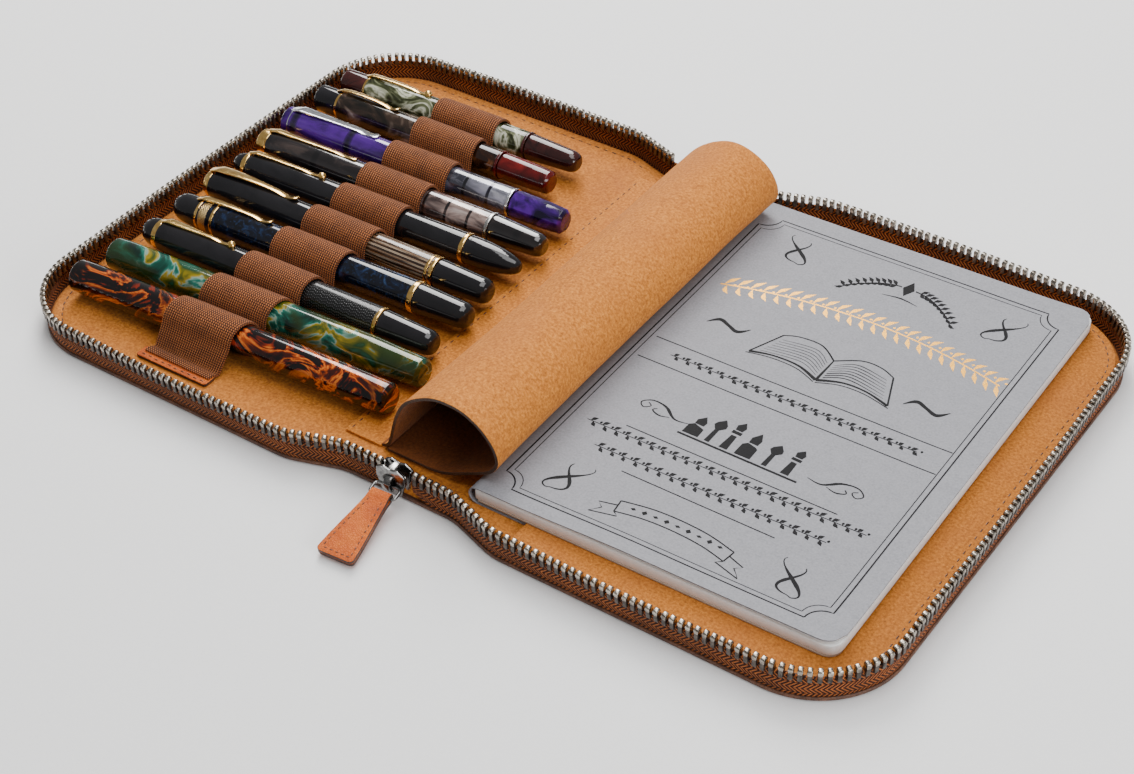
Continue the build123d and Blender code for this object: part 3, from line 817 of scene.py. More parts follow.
def border_stitches(side, name, body, inset, pitch=4.4, length=3.0, gap=24):
    places = []
    s = gap
    stitches = random.Random(5 + side)
    while s < EDGE_LENGTH - gap:
        point, way, outward = edge_at(side, s)
        here = point - outward * (TAPE + 0.25 + inset + stitches.uniform(-0.12, 0.12))
        tilt = stitches.uniform(-0.06, 0.06)
        places.append(((here.x, here.y, 3.72), (way.x + tilt * outward.x, way.y + tilt * outward.y, 0),
                       (0, 0, 1)))
        s += pitch * stitches.uniform(0.97, 1.03)
    stitch_row(name, places, length, SEAM_THREAD, body)


border_stitches(LEFT, "border_stitches_left", "left_cover", STITCH_IN)
border_stitches(RIGHT, "border_stitches_right", "right_cover", STITCH_IN)

# ---- The zipper ----


def tape_place(side, first, last, foot):
    """The tape's middle surface: a sewn margin, then the wall up to the chain."""
    def place(u, v):
        s = mix(first, last, u)
        low = foot(s)
        if v < 0.25:
            deep = (0.25 - v) * 20.0
            x, y, z = wall_point(side, s, low)
            outward = edge_at(side, s)[2]
            return x - outward.x * deep, y - outward.y * deep, low + 0.45 - 0.25 * smooth_step(v, 0.0, 0.25)
        share = (v - 0.25) / 0.75
        z = mix(low, TAPE_TOP, share)
        belly = 0.35 * sin(pi * share) + 0.12 * ripple(s, z, 8, 4 + side)
        return wall_point(side, s, z, belly)
    return place


def zipper_tape(side, name, first, last, foot=lambda s: 1.9, columns=None):
    columns = columns or int((last - first) / 1.6)
    tape = net(name, columns, 16, tape_place(side, first, last, foot), cloth=(last - first, 13.6))
    thicken(tape, TAPE, 0)
    soften(tape, 50)
    facing_out(tape)
    return tape


TOOTH_PITCH = 3.1
CHAIN_START, CHAIN_STOP = 20.0, 6.0       # bare tape at the front and back ends of each chain


def one_tooth():
    """A tooth: two legs gripping the tape, in a darker copy of the nickel that is painted shade, and a bright
    rounded head with a dimple.
    """
    clear_selection()
    bpy.ops.mesh.primitive_cube_add(size=1)
    tooth = bpy.context.object
    tooth.name = "tooth"
    for point in tooth.data.vertices:
        point.co = Vector((point.co.x * 1.75, point.co.y * 3.0, (point.co.z + 0.5) * (CHAIN_TOP - CHAIN_LOW)))
    edit(tooth)
    bpy.ops.mesh.bisect(plane_co=(0, 0, 3.3), plane_no=(0, 0, 1))
    bpy.ops.mesh.select_all(action="SELECT")
    bpy.ops.mesh.bisect(plane_co=(0, 0, 4.5), plane_no=(0, 0, 1))
    done()
    for point in tooth.data.vertices:
        x, y, z = point.co
        if z > 5.2:
            point.co = Vector((x * 0.86, y * 0.56, z - 0.10))
        elif z > 4.2:
            point.co = Vector((x * 1.18, y * 0.92, z))
        elif z > 3.0:
            point.co = Vector((x * 0.92, y * 0.86, z))
    apply_modifier(tooth, "BEVEL", width=0.30, segments=2, limit_method="ANGLE", angle_limit=radians(28))
    paint(tooth, tooth_nickel, tooth_shadow)
    # The legs below the head take the darker nickel copy: painted shade near the tape.
    for face in tooth.data.polygons:
        face.material_index = 0 if face.center.z > 3.35 else 1
    return tooth


def chain(name, side, distances):
    """Copies of the tooth along an edge, each its own faces in one piece."""
    tooth = one_tooth()
    shape = tooth.data
    corners, faces, kinds = [], [], []
    shake = random.Random(7 + side)
    for s in distances:
        way = edge_at(side, s)[1]
        low, top = Vector(wall_point(side, s, CHAIN_LOW)), Vector(wall_point(side, s, CHAIN_TOP))
        up = (top - low).normalized()
        matrix = lay_on(low, (way.x, way.y, shake.uniform(-0.05, 0.05)), up)
        turn = Matrix.Rotation(shake.uniform(-0.06, 0.06), 4, "Z")
        first = len(corners)
        corners += [matrix @ (turn @ (v.co * MM)) for v in shape.vertices]
        for face in shape.polygons:
            faces.append([first + k for k in face.vertices])
            kinds.append(face.material_index)
    mesh = bpy.data.meshes.new(name)
    mesh.from_pydata(corners, [], faces)
    tooth.data = mesh
    paint(tooth, tooth_nickel, tooth_shadow)
    for face, kind in zip(mesh.polygons, kinds):
        face.material_index = kind
    tooth.name = name
    facing_out(tooth)
    soften(tooth, 35)
    return tooth


for side, tag, body in SIDES:
    shift = 0.0 if side == LEFT else TOOTH_PITCH / 2
    tape = zipper_tape(side, "tape_" + tag, 0.5, EDGE_LENGTH - 0.5)
    settle(tape, body, tape_weave, "zipper_tape", ("zipper_tape_" + tag,))
    count = int((EDGE_LENGTH - CHAIN_START - CHAIN_STOP - shift) / TOOTH_PITCH)
    teeth = chain("chain_" + tag, side, [CHAIN_START + shift + n * TOOTH_PITCH for n in range(count)])
    settle(teeth, body, None, "zipper_nickel", ("zipper_teeth_" + tag,), keep_materials=True)
    stop = cut_out("chain_stop_" + tag, box_line(1.3, 0, 5.2, 0.5, 3), 2.9,
                   moved(side * (HINGE + 3.2), NECK + 0.1, CHAIN_LOW) @ Matrix.Rotation(pi / 2, 4, "X"), 0.25)
    soften(stop)
    settle(stop, body, tooth_nickel, "zipper_nickel", ("zip_stop_" + tag,))

# The gussets: tape across the spine's ends, and the chain from each cover to the slider.


def rising_foot(s):
    return mix(1.9, 5.6, smooth_step(-s, 0.5, 9.0))


def back_wing(side):
    """The tape's middle surface behind the spine; it sags a little and bows out."""
    def place(u, v):
        z = mix(1.7, TAPE_TOP, v) - 0.5 * sin(pi * u) * v
        return wall_point(side, EDGE_LENGTH + mix(HINGE, -0.55, u), z, 0.25 * sin(pi * v))
    return place


for side, tag, body in SIDES:
    wing = zipper_tape(side, "gusset_tape_front_" + tag, -8.4, 0.55, rising_foot, 14)
    settle(wing, None, tape_weave, "zipper_tape", ("gusset_tape_front",) if side == LEFT else ())
    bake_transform(wing)
    first = CHAIN_START + (0 if side == LEFT else 1.2)
    teeth = chain("gusset_chain_" + tag, side, [first - (n + 1) * TOOTH_PITCH for n in range(9)])
    settle(teeth, None, None, "zipper_nickel", ("gusset_teeth_front",) if side == LEFT else (),
           keep_materials=True)
    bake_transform(teeth)
    back = net("gusset_tape_back_" + tag, 16, 12, back_wing(side), cloth=(16, 10))
    thicken(back, TAPE, 0)
    facing_out(back)
    soften(back)
    settle(back, None, tape_weave, "zipper_tape", ("gusset_tape_back",) if side == LEFT else ())
    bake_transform(back)

# ---- Slider and pull ----

SLIDER_Y = -111.82
stand_up = Matrix.Rotation(pi / 2, 4, "X")


def upright(name, outline, y, thickness, bevel, material, stands_for=()):
    """A plate standing across Y, from an outline in X and Z."""
    piece = cut_out(name, outline, thickness, moved(0, y, 0) @ stand_up, bevel)
    soften(piece, 40)
    settle(piece, "slider", material, "slider_gunmetal", stands_for)


plate_line = rounded([(-4.3, 4.3), (4.3, 4.3), (5.2, 8.0), (6.5, 10.6), (6.5, 14.6), (3.2, 16.2), (0, 15.3),
                      (-3.2, 16.2), (-6.5, 14.6), (-6.5, 10.6), (-5.2, 8.0)],
                     [1.2, 1.2, 3, 3, 1.6, 1.2, 3, 1.2, 1.6, 3, 3], steps=5)
upright("slider_plate_outer", plate_line, SLIDER_Y - 2.45, 1.1, 0.38, gunmetal, ("slider_body",))
upright("slider_plate_inner", plate_line, SLIDER_Y + 2.45, 1.1, 0.38, gunmetal)
upright("slider_post", rounded([(-1.5, 16.0), (-0.7, 12.4), (0.7, 12.4), (1.5, 16.0)], 0.5, steps=3),
        SLIDER_Y, 4.2, 0.25,
        worn_nickel)
for side in (LEFT, RIGHT):
    rail = rounded([(side * 6.4, 14.2), (side * 6.4, 10.6), (side * 5.1, 8.0), (side * 4.2, 4.8),
                    (side * 3.4, 5.0),
                    (side * 4.2, 8.2), (side * 5.4, 10.9), (side * 5.4, 14.2)], 0.3, steps=3)
    for way in (-1, 1):
        rail_name = "slider_rail_%s_%s" % ("l" if side < 0 else "r", "in" if way > 0 else "out")
        upright(rail_name, rail, SLIDER_Y + way * 1.62, 0.75, 0.15, gunmetal)

FACE_Y = SLIDER_Y - 3.0
bail_line = rounded([(FACE_Y + 0.2, 6.2), (FACE_Y - 2.1, 6.9), (FACE_Y - 2.75, 8.4), (FACE_Y - 2.75, 10.8),
                     (FACE_Y - 1.6, 12.6),
                     (FACE_Y + 0.2, 13.4), (FACE_Y + 0.2, 11.9), (FACE_Y - 1.2, 11.3), (FACE_Y - 1.85, 10.2),
                     (FACE_Y - 1.85, 8.6),
                     (FACE_Y - 1.4, 7.6), (FACE_Y + 0.2, 7.3)], 0.6, steps=3)
bail = cut_out("slider_bail_bridge", bail_line, 2.7,
               Matrix(((0, 0, 1, 0), (1, 0, 0, 0), (0, 1, 0, 0), (0, 0, 0, 1))), 0.3)
soften(bail, 40)
settle(bail, "slider", gunmetal, "slider_gunmetal", ("slider_bail",))

PULL_DROP, PULL_SKEW = radians(11), radians(4)
pull_frame = lay_on((0, SLIDER_Y - 3.95, 9.1), (cos(PULL_SKEW), sin(PULL_SKEW), 0),
                    (0, -sin(PULL_DROP), cos(PULL_DROP)))
link_line = rounded([(-5.4, 0), (-5.4, -5.2), (5.4, -5.2), (5.4, 0)], 1.5, steps=5)
link_line.append(link_line[0])


def link_place(u, v):
    here, ahead = along(link_line, u), along(link_line, (u + 0.01) % 1.0)
    out = Vector((ahead.y - here.y, here.x - ahead.x)).normalized()
    angle = 2 * pi * v
    return here.x + out.x * 0.6 * cos(angle), here.y + out.y * 0.6 * cos(angle), 0.6 * sin(angle)


link = net("pull_wire", 64, 12, link_place, close=True)
carry(link, pull_frame)
soften(link, 80)
settle(link, "pull", gunmetal, "slider_gunmetal", ("pull_link",))

TAB_END = -35.4
fold_line = [(TAB_END, 0.72), (-20.0, 0.72), (-10.0, 0.74), (-7.2, 1.05), (-5.6, 1.32), (-4.3, 1.05),
             (-3.85, 0.0), (-4.3, -1.05),
             (-5.6, -1.32), (-7.2, -1.05), (-10.0, -0.74), (-20.0, -0.72), (TAB_END, -0.72)]
tab_section = flowing([(y, z, 0) for y, z in fold_line], 121)[0]


def tab_half(y):
    """Half the tab's width: narrow at the ring, wide at the far end, with small round corners."""
    share = smooth_step(-y, 3.0, 34.0)
    half = mix(4.0, 7.8, 0.35 * share + 0.65 * min(1.0, (-y - 3.4) / 32.0))
    left = y - TAB_END
    if left < 1.8:
        half -= 1.8 - sqrt(max(0.0, 1.8 ** 2 - (1.8 - left) ** 2))
    return half


def tab_place(u, v):
    here = tab_section[int(round(v * 120))]
    return (2 * u - 1) * tab_half(here.x), here.x, here.y


tab = net("pull_tab_leather", 14, 120, tab_place, cloth=(15, 72))
thicken(tab, 1.34, 0)
facing_out(tab)
paint(tab, tab_leather, burnished_edge)
for face in tab.data.polygons:
    side_edge = abs(face.center.x) > (tab_half(face.center.y / MM) - 0.3) * MM
    far_edge = face.center.y < (TAB_END + 0.3) * MM
    face.material_index = 1 if abs(face.normal.z) < 0.55 and (side_edge or far_edge) else 0
round_edges(tab, 0.22, 2, 60)
carry(tab, pull_frame)
soften(tab, 50)
settle(tab, "pull", None, "tab_leather", ("pull_tab",), keep_materials=True)


def in_pull(x, y, z):
    return (pull_frame @ (Vector((x, y, z)) * MM)) / MM


pull_turn = pull_frame.to_3x3()
places = []
for face_up in (1, -1):
    up = pull_turn @ Vector((0, 0, face_up))
    for side in (LEFT, RIGHT):
        y = -9.0
        while y > TAB_END + 2.2:
            ahead = Vector((side * (tab_half(y - 1) - tab_half(y)), -1, 0))
            spot = in_pull(side * (tab_half(y) - 1.75), y, 1.33 * face_up)
            places.append((spot, pull_turn @ ahead, up))
            y -= 2.55
    for x in (-4.6, -2.1, 0.3, 2.7, 5.0):
        places.append((in_pull(x, TAB_END + 1.9, 1.33 * face_up), pull_turn @ Vector((1, 0.05, 0)), up))
stitch_row("pull_tab_stitches", places, 1.95, 0.5, "pull")

# ---- The pens' places, and the elastic over them ----

PEN_HEIGHT = 12.5     # the pens' axes
SEAM_HEIGHT = 5.1     # the webbing between the pens
# name: cap end x, y; barrel end x, y; cap radius; barrel radius; cap length; end radius
PENS = {
    "01": (-180, -89, -26, -81, 7.1, 6.9, 66, 6.4),
    "02": (-178, -70, -25, -62, 7.1, 6.9, 64, 6.0),
    "03": (-180, -50, -32, -46, 6.9, 6.3, 63, 5.2),
    "04": (-181, -30, -31, -25, 7.0, 6.5, 64, 5.4),
    "05": (-182, -10, -34, -8, 6.8, 6.3, 64, 5.4),
    "06": (-182, 8, -34, 12, 6.8, 6.3, 62, 4.2),
    "07": (-182, 26, -34, 29, 6.9, 6.3, 64, 5.0),
    "08": (-184, 45, -37, 48, 6.9, 6.2, 62, 5.4),
    "09": (-184, 67.5, -58, 68, 6.5, 6.0, 60, 5.0),
    "10": (-183, 84.5, -57, 86.5, 6.4, 5.9, 60, 4.8),
}


def pen_line_y(number, x):
    x0, y0, x1, y1 = PENS[number][:4]
    return y0 + (y1 - y0) * (x - x0) / (x1 - x0)


def band_section(x):
    """The webbing's middle line across all pens at one x: over each pen, and down to a seam between
    them."""
    points = [(-104.4, 6.2), (-102.2, 6.2), (-100.4, 5.2), (-99.6, 5.0)]
    centres = [pen_line_y(number, x) for number in sorted(PENS)]
    radii = [PENS[number][4] for number in sorted(PENS)]
    seams = [-99.2]
    for n in range(len(centres) - 1):
        seams.append((centres[n] + radii[n] + centres[n + 1] - radii[n + 1]) / 2)
    seams.append(95.6)
    for centre, cap_radius, before, after in zip(centres, radii, seams, seams[1:]):
        radius = cap_radius + 0.95
        start = leave_angle(centre - before, PEN_HEIGHT - SEAM_HEIGHT, radius)
        stop = leave_angle(after - centre, PEN_HEIGHT - SEAM_HEIGHT, radius)
        points.append((before, SEAM_HEIGHT))
        for k in range(19):
            angle = mix(pi + start, -stop, k / 18)
            points.append((centre + radius * cos(angle), PEN_HEIGHT + radius * sin(angle)))
        points.append((after, SEAM_HEIGHT))
    points += [(95.8, 5.0), (96.8, 5.2), (98.4, 6.2), (100.4, 6.2)]
    return points


def leave_angle(reach, drop, radius):
    """How far below level the webbing leaves the pen's side to run down to its seam."""
    far = hypot(reach, drop)
    if far <= radius:
        return 0.75
    tangent = sqrt(far * far - radius * radius)
    toward = atan2(drop, reach)
    return min(0.95, max(-0.2, toward - atan2(tangent, radius)))


def band_bow(y):
    return 6.6 * max(0.0, 1 - ((y + 12) / 96.0) ** 2)


BAND_COUNT = 330
band_cache = {}


def band_place(u, v):
    row = round(v * 30)
    if row not in band_cache:
        x = mix(-129.5, -99.0, row / 30)
        band_cache[row] = evenly([Vector(place) for place in band_section(x)], BAND_COUNT + 1)[0]
    y, z = band_cache[row][int(round(u * BAND_COUNT))]
    bow = band_bow(y)
    x = mix(-130.8 + bow, -97.9 + bow, row / 30)
    lip = 0.25 * (exp(-(row / 1.3)) + exp(-((30 - row) / 1.3))) * smooth_step(z, 6, 14)
    return x + 0.25 * ripple(y, z, 14, 8), y, z - lip + 0.06 * ripple(x, y, 5, 9)


BAND_LENGTH = evenly([Vector(place) for place in band_section(-114.0)], 3)[1]
band = net("elastic_webbing", BAND_COUNT, 30, band_place, cloth=(BAND_LENGTH, 33))
thicken(band, 0.9, 0)
facing_out(band)
soften(band, 60)
settle(band, "left_cover", elastic_knit, "elastic", ("elastic_band",))

for tag, y in (("front", -104.4), ("back", 100.4)):
    tab = cut_out("elastic_tab_" + tag, box_line(17.8, -3.1, 3.1, 1.4, 4), 1.5,
                  moved(-114.5, y, 4.95) @ Matrix.Rotation(radians(0.6), 4, "Z"), 0.35, 3)
    paint(tab, tab_leather, burnished_edge)
    for face in tab.data.polygons:
        face.material_index = 1 if abs(face.normal.z) < 0.6 else 0
    soften(tab, 40)
    settle(tab, "left_cover", None, "tab_leather", ("elastic_end_tab_" + tag,), keep_materials=True)
    row_y = y + (1.6 if y > 0 else -1.6)
    places = [((-129.5 + 3.35 * n, row_y + 0.2 * sin(2.1 * n), 5.72), (1, 0.05 * sin(1.7 * n), 0), (0, 0, 1))
              for n in range(10)]
    stitch_row("elastic_tab_stitches_" + tag, places, 2.3, 0.5, "left_cover")

# ---- The flap: one leather sheet rolled back over the spine ----

FLAP_FRONT, FLAP_BACK, FLAP_THICK = -97.0, 101.0, 1.4
front_roll = [(-18.6, 5.3), (-15.6, 7.2), (-13.9, 11.5), (-12.0, 18.0), (-9.4, 24.6), (-5.6, 30.6),
              (0.2, 35.2), (7.0, 38.6), (14.0, 39.6),
              (21.0, 38.6), (27.8, 34.6), (32.6, 28.8), (34.2, 22.6), (31.6, 17.6), (25.5, 13.6),
              (19.0, 10.2), (12.5, 6.9), (6.0, 5.2),
              (-1.0, 4.9), (-8.0, 4.9), (-16.0, 4.9)]
back_roll = [(-18.6, 5.3), (-16.8, 8.6), (-16.0, 14.0), (-13.6, 20.4), (-9.6, 26.8), (-4.4, 32.0),
             (2.0, 36.2), (8.8, 38.8), (15.0, 38.8),
             (21.4, 36.6), (27.0, 32.6), (30.6, 27.0), (31.4, 21.6), (28.8, 17.0), (23.4, 13.4), (17.4, 10.2),
             (11.4, 7.0), (5.2, 5.3),
             (-1.6, 4.9), (-8.6, 4.9), (-16.2, 4.9)]
ROLL_COUNT = 150
ROLL_CENTRE = Vector((11.0, 22.0, 0))
front_line, front_length = flowing([(x, z, 0) for x, z in front_roll], ROLL_COUNT + 1)
back_line, back_length = flowing([(x, z, 0) for x, z in back_roll], ROLL_COUNT + 1)


def flap_place(u, v):
    n = int(round(u * ROLL_COUNT))
    share = smooth_step(v)
    here = front_line[n].lerp(back_line[n], share)
    y = mix(FLAP_FRONT, FLAP_BACK, v)
    free = smooth_step(u, 0.05, 0.25) * (1 - smooth_step(u, 0.62, 0.80))
    swell = free * (0.55 * ripple(u * 60, y, 46, 11) + 0.9 * sin(pi * v) * sin(pi * u))
    out = (here - ROLL_CENTRE).normalized()
    flare = 0.6 * exp(-v * 14) * free
    here = here + out * (flare - swell)
    y += 0.5 * ripple(u * 70, 3, 30, 12) * (1 if v in (0.0, 1.0) else 0)
    return here.x, y, max(here.y, 4.9)


flap = net("flap_roll", ROLL_COUNT, 90, flap_place, cloth=(front_length, FLAP_BACK - FLAP_FRONT))
thicken(flap, FLAP_THICK, 0)
facing_out(flap)
# Faces turned into the roll take the back-face finish, whose darkness is partly painted shade.
paint(flap, flap_suede, burnished_edge, shaded_flesh_side)
for face in flap.data.polygons:
    cut_end = abs(face.normal.y) > 0.75 and not (FLAP_FRONT + 1.2) * MM < face.center.y < (FLAP_BACK
            - 1.2) * MM
    inward = face.normal.x * (0.011 - face.center.x) + face.normal.z * (0.022 - face.center.z)
    face.material_index = 1 if cut_end else 2 if inward > 0 else 0
round_edges(flap, 0.2, 2, 70)
soften(flap, 50)
settle(flap, "flap", None, "flap_suede", ("flap",), keep_materials=True)
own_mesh(flap)

root = cut_out("flap_root_strip", box_line(8.4, -99.0, 99.0, 0.8, 3), 1.3,
               moved(-27.6, 2.0, 4.75), 0.3, 2)
soften(root, 40)
settle(root, "left_cover", flap_suede, "flap_suede", ("flap_root",))
places = [((-34.2, -94 + 4.3 * n, 5.33), (0.04 * sin(n), 1, 0), (0, 0, 1)) for n in range(45)]
stitch_row("flap_root_stitches", places, 3.0, SEAM_THREAD, "left_cover")

# ---- The notebook, in its own frame: X from its spine, Y from its front ----

BOOK_WIDE, BOOK_LONG = 148.0, 210.0
book_frame = moved(25, -102, 0) @ Matrix.Rotation(radians(1.0), 4, "Z")


def round_corner(x, radius=7.0):
    """How much a leaf's front and back edges draw in near its round fore-edge corners."""
    past = x - (BOOK_WIDE - radius)
    return radius - sqrt(max(0.0, radius * radius - past * past)) if past > 0 else 0.0


def cover_lift(x, y):
    """The front cover lifts at its front edge and fore edge, and lies slightly uneven."""
    lift = 1.5 * exp(-(max(y, 0.0) / 13.0) ** 1.5) * smooth_step(x, 15, 70)
    lift += 0.55 * exp(-(max(BOOK_WIDE - x, 0.0) / 12.0) ** 1.5) * smooth_step(y, 0, 60)
    lift += 0.5 * exp(-(max(BOOK_LONG - y, 0.0) / 16.0) ** 1.5) * smooth_step(x, 40, 110)
    return lift + 0.22 * ripple(x, y, 60, 21)


def front_card(x, y):
    return 11.4 + cover_lift(x, y)


def card_place(u, v):
    """Round the book: front card from its fore edge to the spine, round the fold, and the back card."""
    spine, turn = 3.5, pi * 3.5
    flat = BOOK_WIDE - spine
    run = u * (2 * flat + turn)
    if flat < run < flat + turn:
        angle = (run - flat) / spine
        return spine - spine * sin(angle) + 0.2, v * BOOK_LONG, 7.9 + 3.5 * cos(angle)
    top = run <= flat
    x = BOOK_WIDE - run if top else run - turn - flat + spine
    inset = round_corner(x)
    y = mix(inset, BOOK_LONG - inset, v)
    return x + 0.2 * (x < 20), y, front_card(x, y) if top else 4.4


card = net("notebook_card_cover", 170, 84, card_place, cloth=(300, 210))
thicken(card, 0.38, 0)
facing_out(card)
carry(card, book_frame)
soften(card, 40)
settle(card, "notebook", grey_card, "notebook_card", ("notebook_cover",))


def leaf_outline(start, inset, out=0.0, radius=6.5):
    wide, front, back = BOOK_WIDE - inset, inset - out, BOOK_LONG - inset
    return rounded([(start, front), (wide, front), (wide, back), (start, back)], [0.5, radius, radius, 0.5],
                   steps=8)


block = cut_out("notebook_leaves", leaf_outline(3.0, 0.0), 4.2, book_frame @ moved(0, 0, 8.8), 0.3, 2)
soften(block, 40)
settle(block, "notebook", page_leaves, "paper", ("notebook_pages",))
backing = cut_out("notebook_blotter", leaf_outline(4.0, 0.3, 0.5), 0.85, book_frame @ moved(0, 0, 6.2), 0.2,
                  2)
soften(backing, 40)
settle(backing, "notebook", blotter_card, "paper")


def loose_leaf(name, height, follow, inset, skew):
    def place(u, v):
        x = mix(4.0, BOOK_WIDE - inset, u)
        cut = round_corner(x + inset)
        y = mix(inset + cut, BOOK_LONG - inset - cut, v) + skew * (x / BOOK_WIDE)
        return x, y, height + follow * cover_lift(x, y)
    leaf = net(name, 60, 84, place, cloth=(145, 209))
    thicken(leaf, 0.14, 0)
    facing_out(leaf)
    carry(leaf, book_frame)
    soften(leaf, 40)
    settle(leaf, "notebook", page_leaves, "paper")


loose_leaf("notebook_leaf_1", 10.99, 0.15, 0.1, 0.0)
loose_leaf("notebook_leaf_2", 11.02, 0.40, 0.4, 0.25)
loose_leaf("notebook_leaf_3", 11.05, 0.68, 0.2, -0.2)

dress_cad("notebook_thread", white_thread)

# The pocket under the notebook's back cover.

pocket_line, s = [], 0.0
while s <= EDGE_LENGTH:
    point, _, outward = edge_at(RIGHT, s)
    here = point - outward * (TAPE + 1.9)
    if here.x > 50.0:
        pocket_line.append((here.x, here.y))
    s += 4.0
pocket_line = [(50.0, pocket_line[0][1])] + pocket_line + [(50.0, pocket_line[-1][1])]
pocket = cut_out("pocket_panel", pocket_line, 1.25, moved(0, 0, 4.95), 0.4, 3)
soften(pocket, 40)
settle(pocket, "right_cover", lining_suede, "lining_suede", ("notebook_pocket",))
places, s = [], 60.0
while s < EDGE_LENGTH - 60.0:
    point, way, outward = edge_at(RIGHT, s)
    here = point - outward * 5.6
    if here.x > 52:
        places.append(((here.x, here.y, 5.5), (way.x, way.y, 0), (0, 0, 1)))
    s += 4.4
stitch_row("pocket_stitches", places, 3.0, SEAM_THREAD, "right_cover")

# ---- What is printed on the notebook: rules, scrolls and small drawings, with no words ----


def stroke(name, line, width, smooth=True, weight=1.0):
    """A line of ink on the front card. width is one number, or widths from the line's start to its end."""
    places = [Vector((x, y, 0)) for x, y in line]
    if smooth:
        places = flowing(places, max(6, len(line) * 7))[0]
    count = len(places) - 1
    widths = width if isinstance(width, (list, tuple)) else (width, width)

    def place(u, v):
        n = int(round(u * count))
        ahead = places[min(n + 1, count)] - places[max(n - 1, 0)]
        across = Vector((-ahead.y, ahead.x, 0)).normalized()
        at = u * (len(widths) - 1)
        k = min(int(at), len(widths) - 2)
        wide = mix(widths[k], widths[k + 1], at - k) * weight
        here = places[n] + across * wide * (v - 0.5)
        return here.x, here.y, front_card(here.x, here.y) + 0.215
    return net(name, count, 1, place)


def artwork(name, strokes, material, weight=1.0):
    """Joins strokes, given as (line, width) or (line, width, False) for straight runs, into one print."""
    parts = [stroke(name + "_s", mark[0], mark[1], len(mark) < 3, weight) for mark in strokes]
    print_piece = join(name, parts)
    facing_out(print_piece)
    if sum(face.normal.z for face in print_piece.data.polygons) < 0:
        edit(print_piece)
        bpy.ops.mesh.flip_normals()
        done()
    carry(print_piece, book_frame)
    settle(print_piece, "notebook", material, "notebook_card")


def border(inset_x, right, front, back, notch):
    """A frame whose corners are cut by hollow quarter rounds."""
    points = []
    for cx, cy, begin in ((right, front, pi), (right, back, 1.5 * pi), (inset_x, back, 0),
                          (inset_x, front, pi / 2)):
        for k in range(9):
            angle = begin - pi / 2 * k / 8
            points.append((cx + notch * cos(angle), cy + notch * sin(angle)))
    return points + [points[0]]


def dense(line, step=6.0):
    out = [line[0]]
    for a, b in zip(line, line[1:]):
        pieces = max(1, int(hypot(b[0] - a[0], b[1] - a[1]) / step))
        out += [(mix(a[0], b[0], k / pieces), mix(a[1], b[1], k / pieces)) for k in range(1, pieces + 1)]
    return out


def scroll(x, y, way, tall=9.0):
    """An open flourish of two loops, thick where it crosses itself."""
    line = []
    for k in range(26):
        t = mix(0.14, 1.80, k / 25) * pi
        across = 0.50 * tall * sin(2 * t) + 0.30 * tall * cos(t)
        line.append((x + way * across, y + tall * cos(t) * (1.0 if t < pi else 0.92)))
    return [(line, [0.22, 0.4, 1.0, 1.15, 0.5, 0.28, 0.6, 1.05, 0.6, 0.25])]


prints = [(dense(border(7.4, 139.6, 6.3, 200.8, 7.2)), 0.42, False),
          (dense(border(9.6, 137.4, 8.5, 198.6, 7.0)), 0.26, False)]
for x, y, way in ((28.0, 23.0, 1), (30.0, 186.5, -1), (122.0, 183.0, 1), (119.5, 21.0, -1)):
    prints += scroll(x, y, way)
for x0, x1, y in ((11.5, 137.0, 108.0), (11.5, 137.0, 94.4), (30.0, 117.5, 57.6), (42.0, 105.0, 35.6)):
    prints.append((dense([(x0, y), (x1, y - 0.6)]), 0.36, False))


def small_band(x0, x1, y, seed, tall=2.4):
    """A running vine: slanted leaves above and below a thin stem, with berries between them."""
    row, x, pick = [(dense([(x0, y), (x1, y)]), 0.28, False)], x0 + 1.5, random.Random(seed)
    while x < x1:
        lean, up = pick.uniform(0.8, 1.4), tall / 2 * pick.uniform(0.85, 1.1)
        for foot, rise in ((x, up), (x + 1.1, -up)):
            row.append(([(foot, y), (foot + lean * 0.6, y + rise * 0.55), (foot + lean * 1.7, y + rise)],
                        [0.1, 1.25, 0.1]))
        row.append(([(x + 3.5, y + 0.9), (x + 4.0, y + 0.9), (x + 4.5, y + 0.9)], [0.4, 1.0, 0.4], False))
        x += 5.0
    return row


prints += small_band(22, 126, 101.2, 3, 3.9)
prints += small_band(16, 131, 53.0, 5, 4.6)
prints += small_band(26, 121, 42.5, 6, 4.6)



def wave(x, y, size):
    line = [(x - size, y - 2.2), (x - size * 0.55, y + 1.6), (x, y), (x + size * 0.55, y - 1.6),
            (x + size, y + 2.2)]
    return line, [0.25, 1.3, 1.0, 1.3, 0.25]


prints += [wave(31.5, 128.6, 8.6), wave(118.0, 124.8, 8.6)]

# An open book.
prints += [([(75.6, 117.6), (66, 121.6), (55, 121.8), (45.8, 119.4)], [1.1, 0.7, 0.6, 0.9]),
           ([(75.6, 117.6), (85, 121.4), (95, 121.4), (105.2, 118.4)], [1.1, 0.7, 0.6, 0.9]),
           ([(76.0, 131.2), (68, 137.0), (58.5, 137.2), (52.4, 134.8)], [0.5, 0.45, 0.4]),
           ([(76.0, 131.2), (85, 136.8), (93, 137.0), (99.6, 134.2)], [0.5, 0.45, 0.4]),
           ([(52.4, 134.8), (45.8, 119.4)], 0.5, False), ([(99.6, 134.2), (105.2, 118.4)], 0.5, False),
           ([(76.0, 131.2), (75.6, 117.6)], [0.4, 0.9], False),
           ([(45.0, 118.2), (55, 120.2), (66, 119.8), (75.2, 116.2)], 0.35),
           ([(106.0, 117.2), (95, 119.8), (85, 119.6), (76.0, 116.2)], 0.35)]
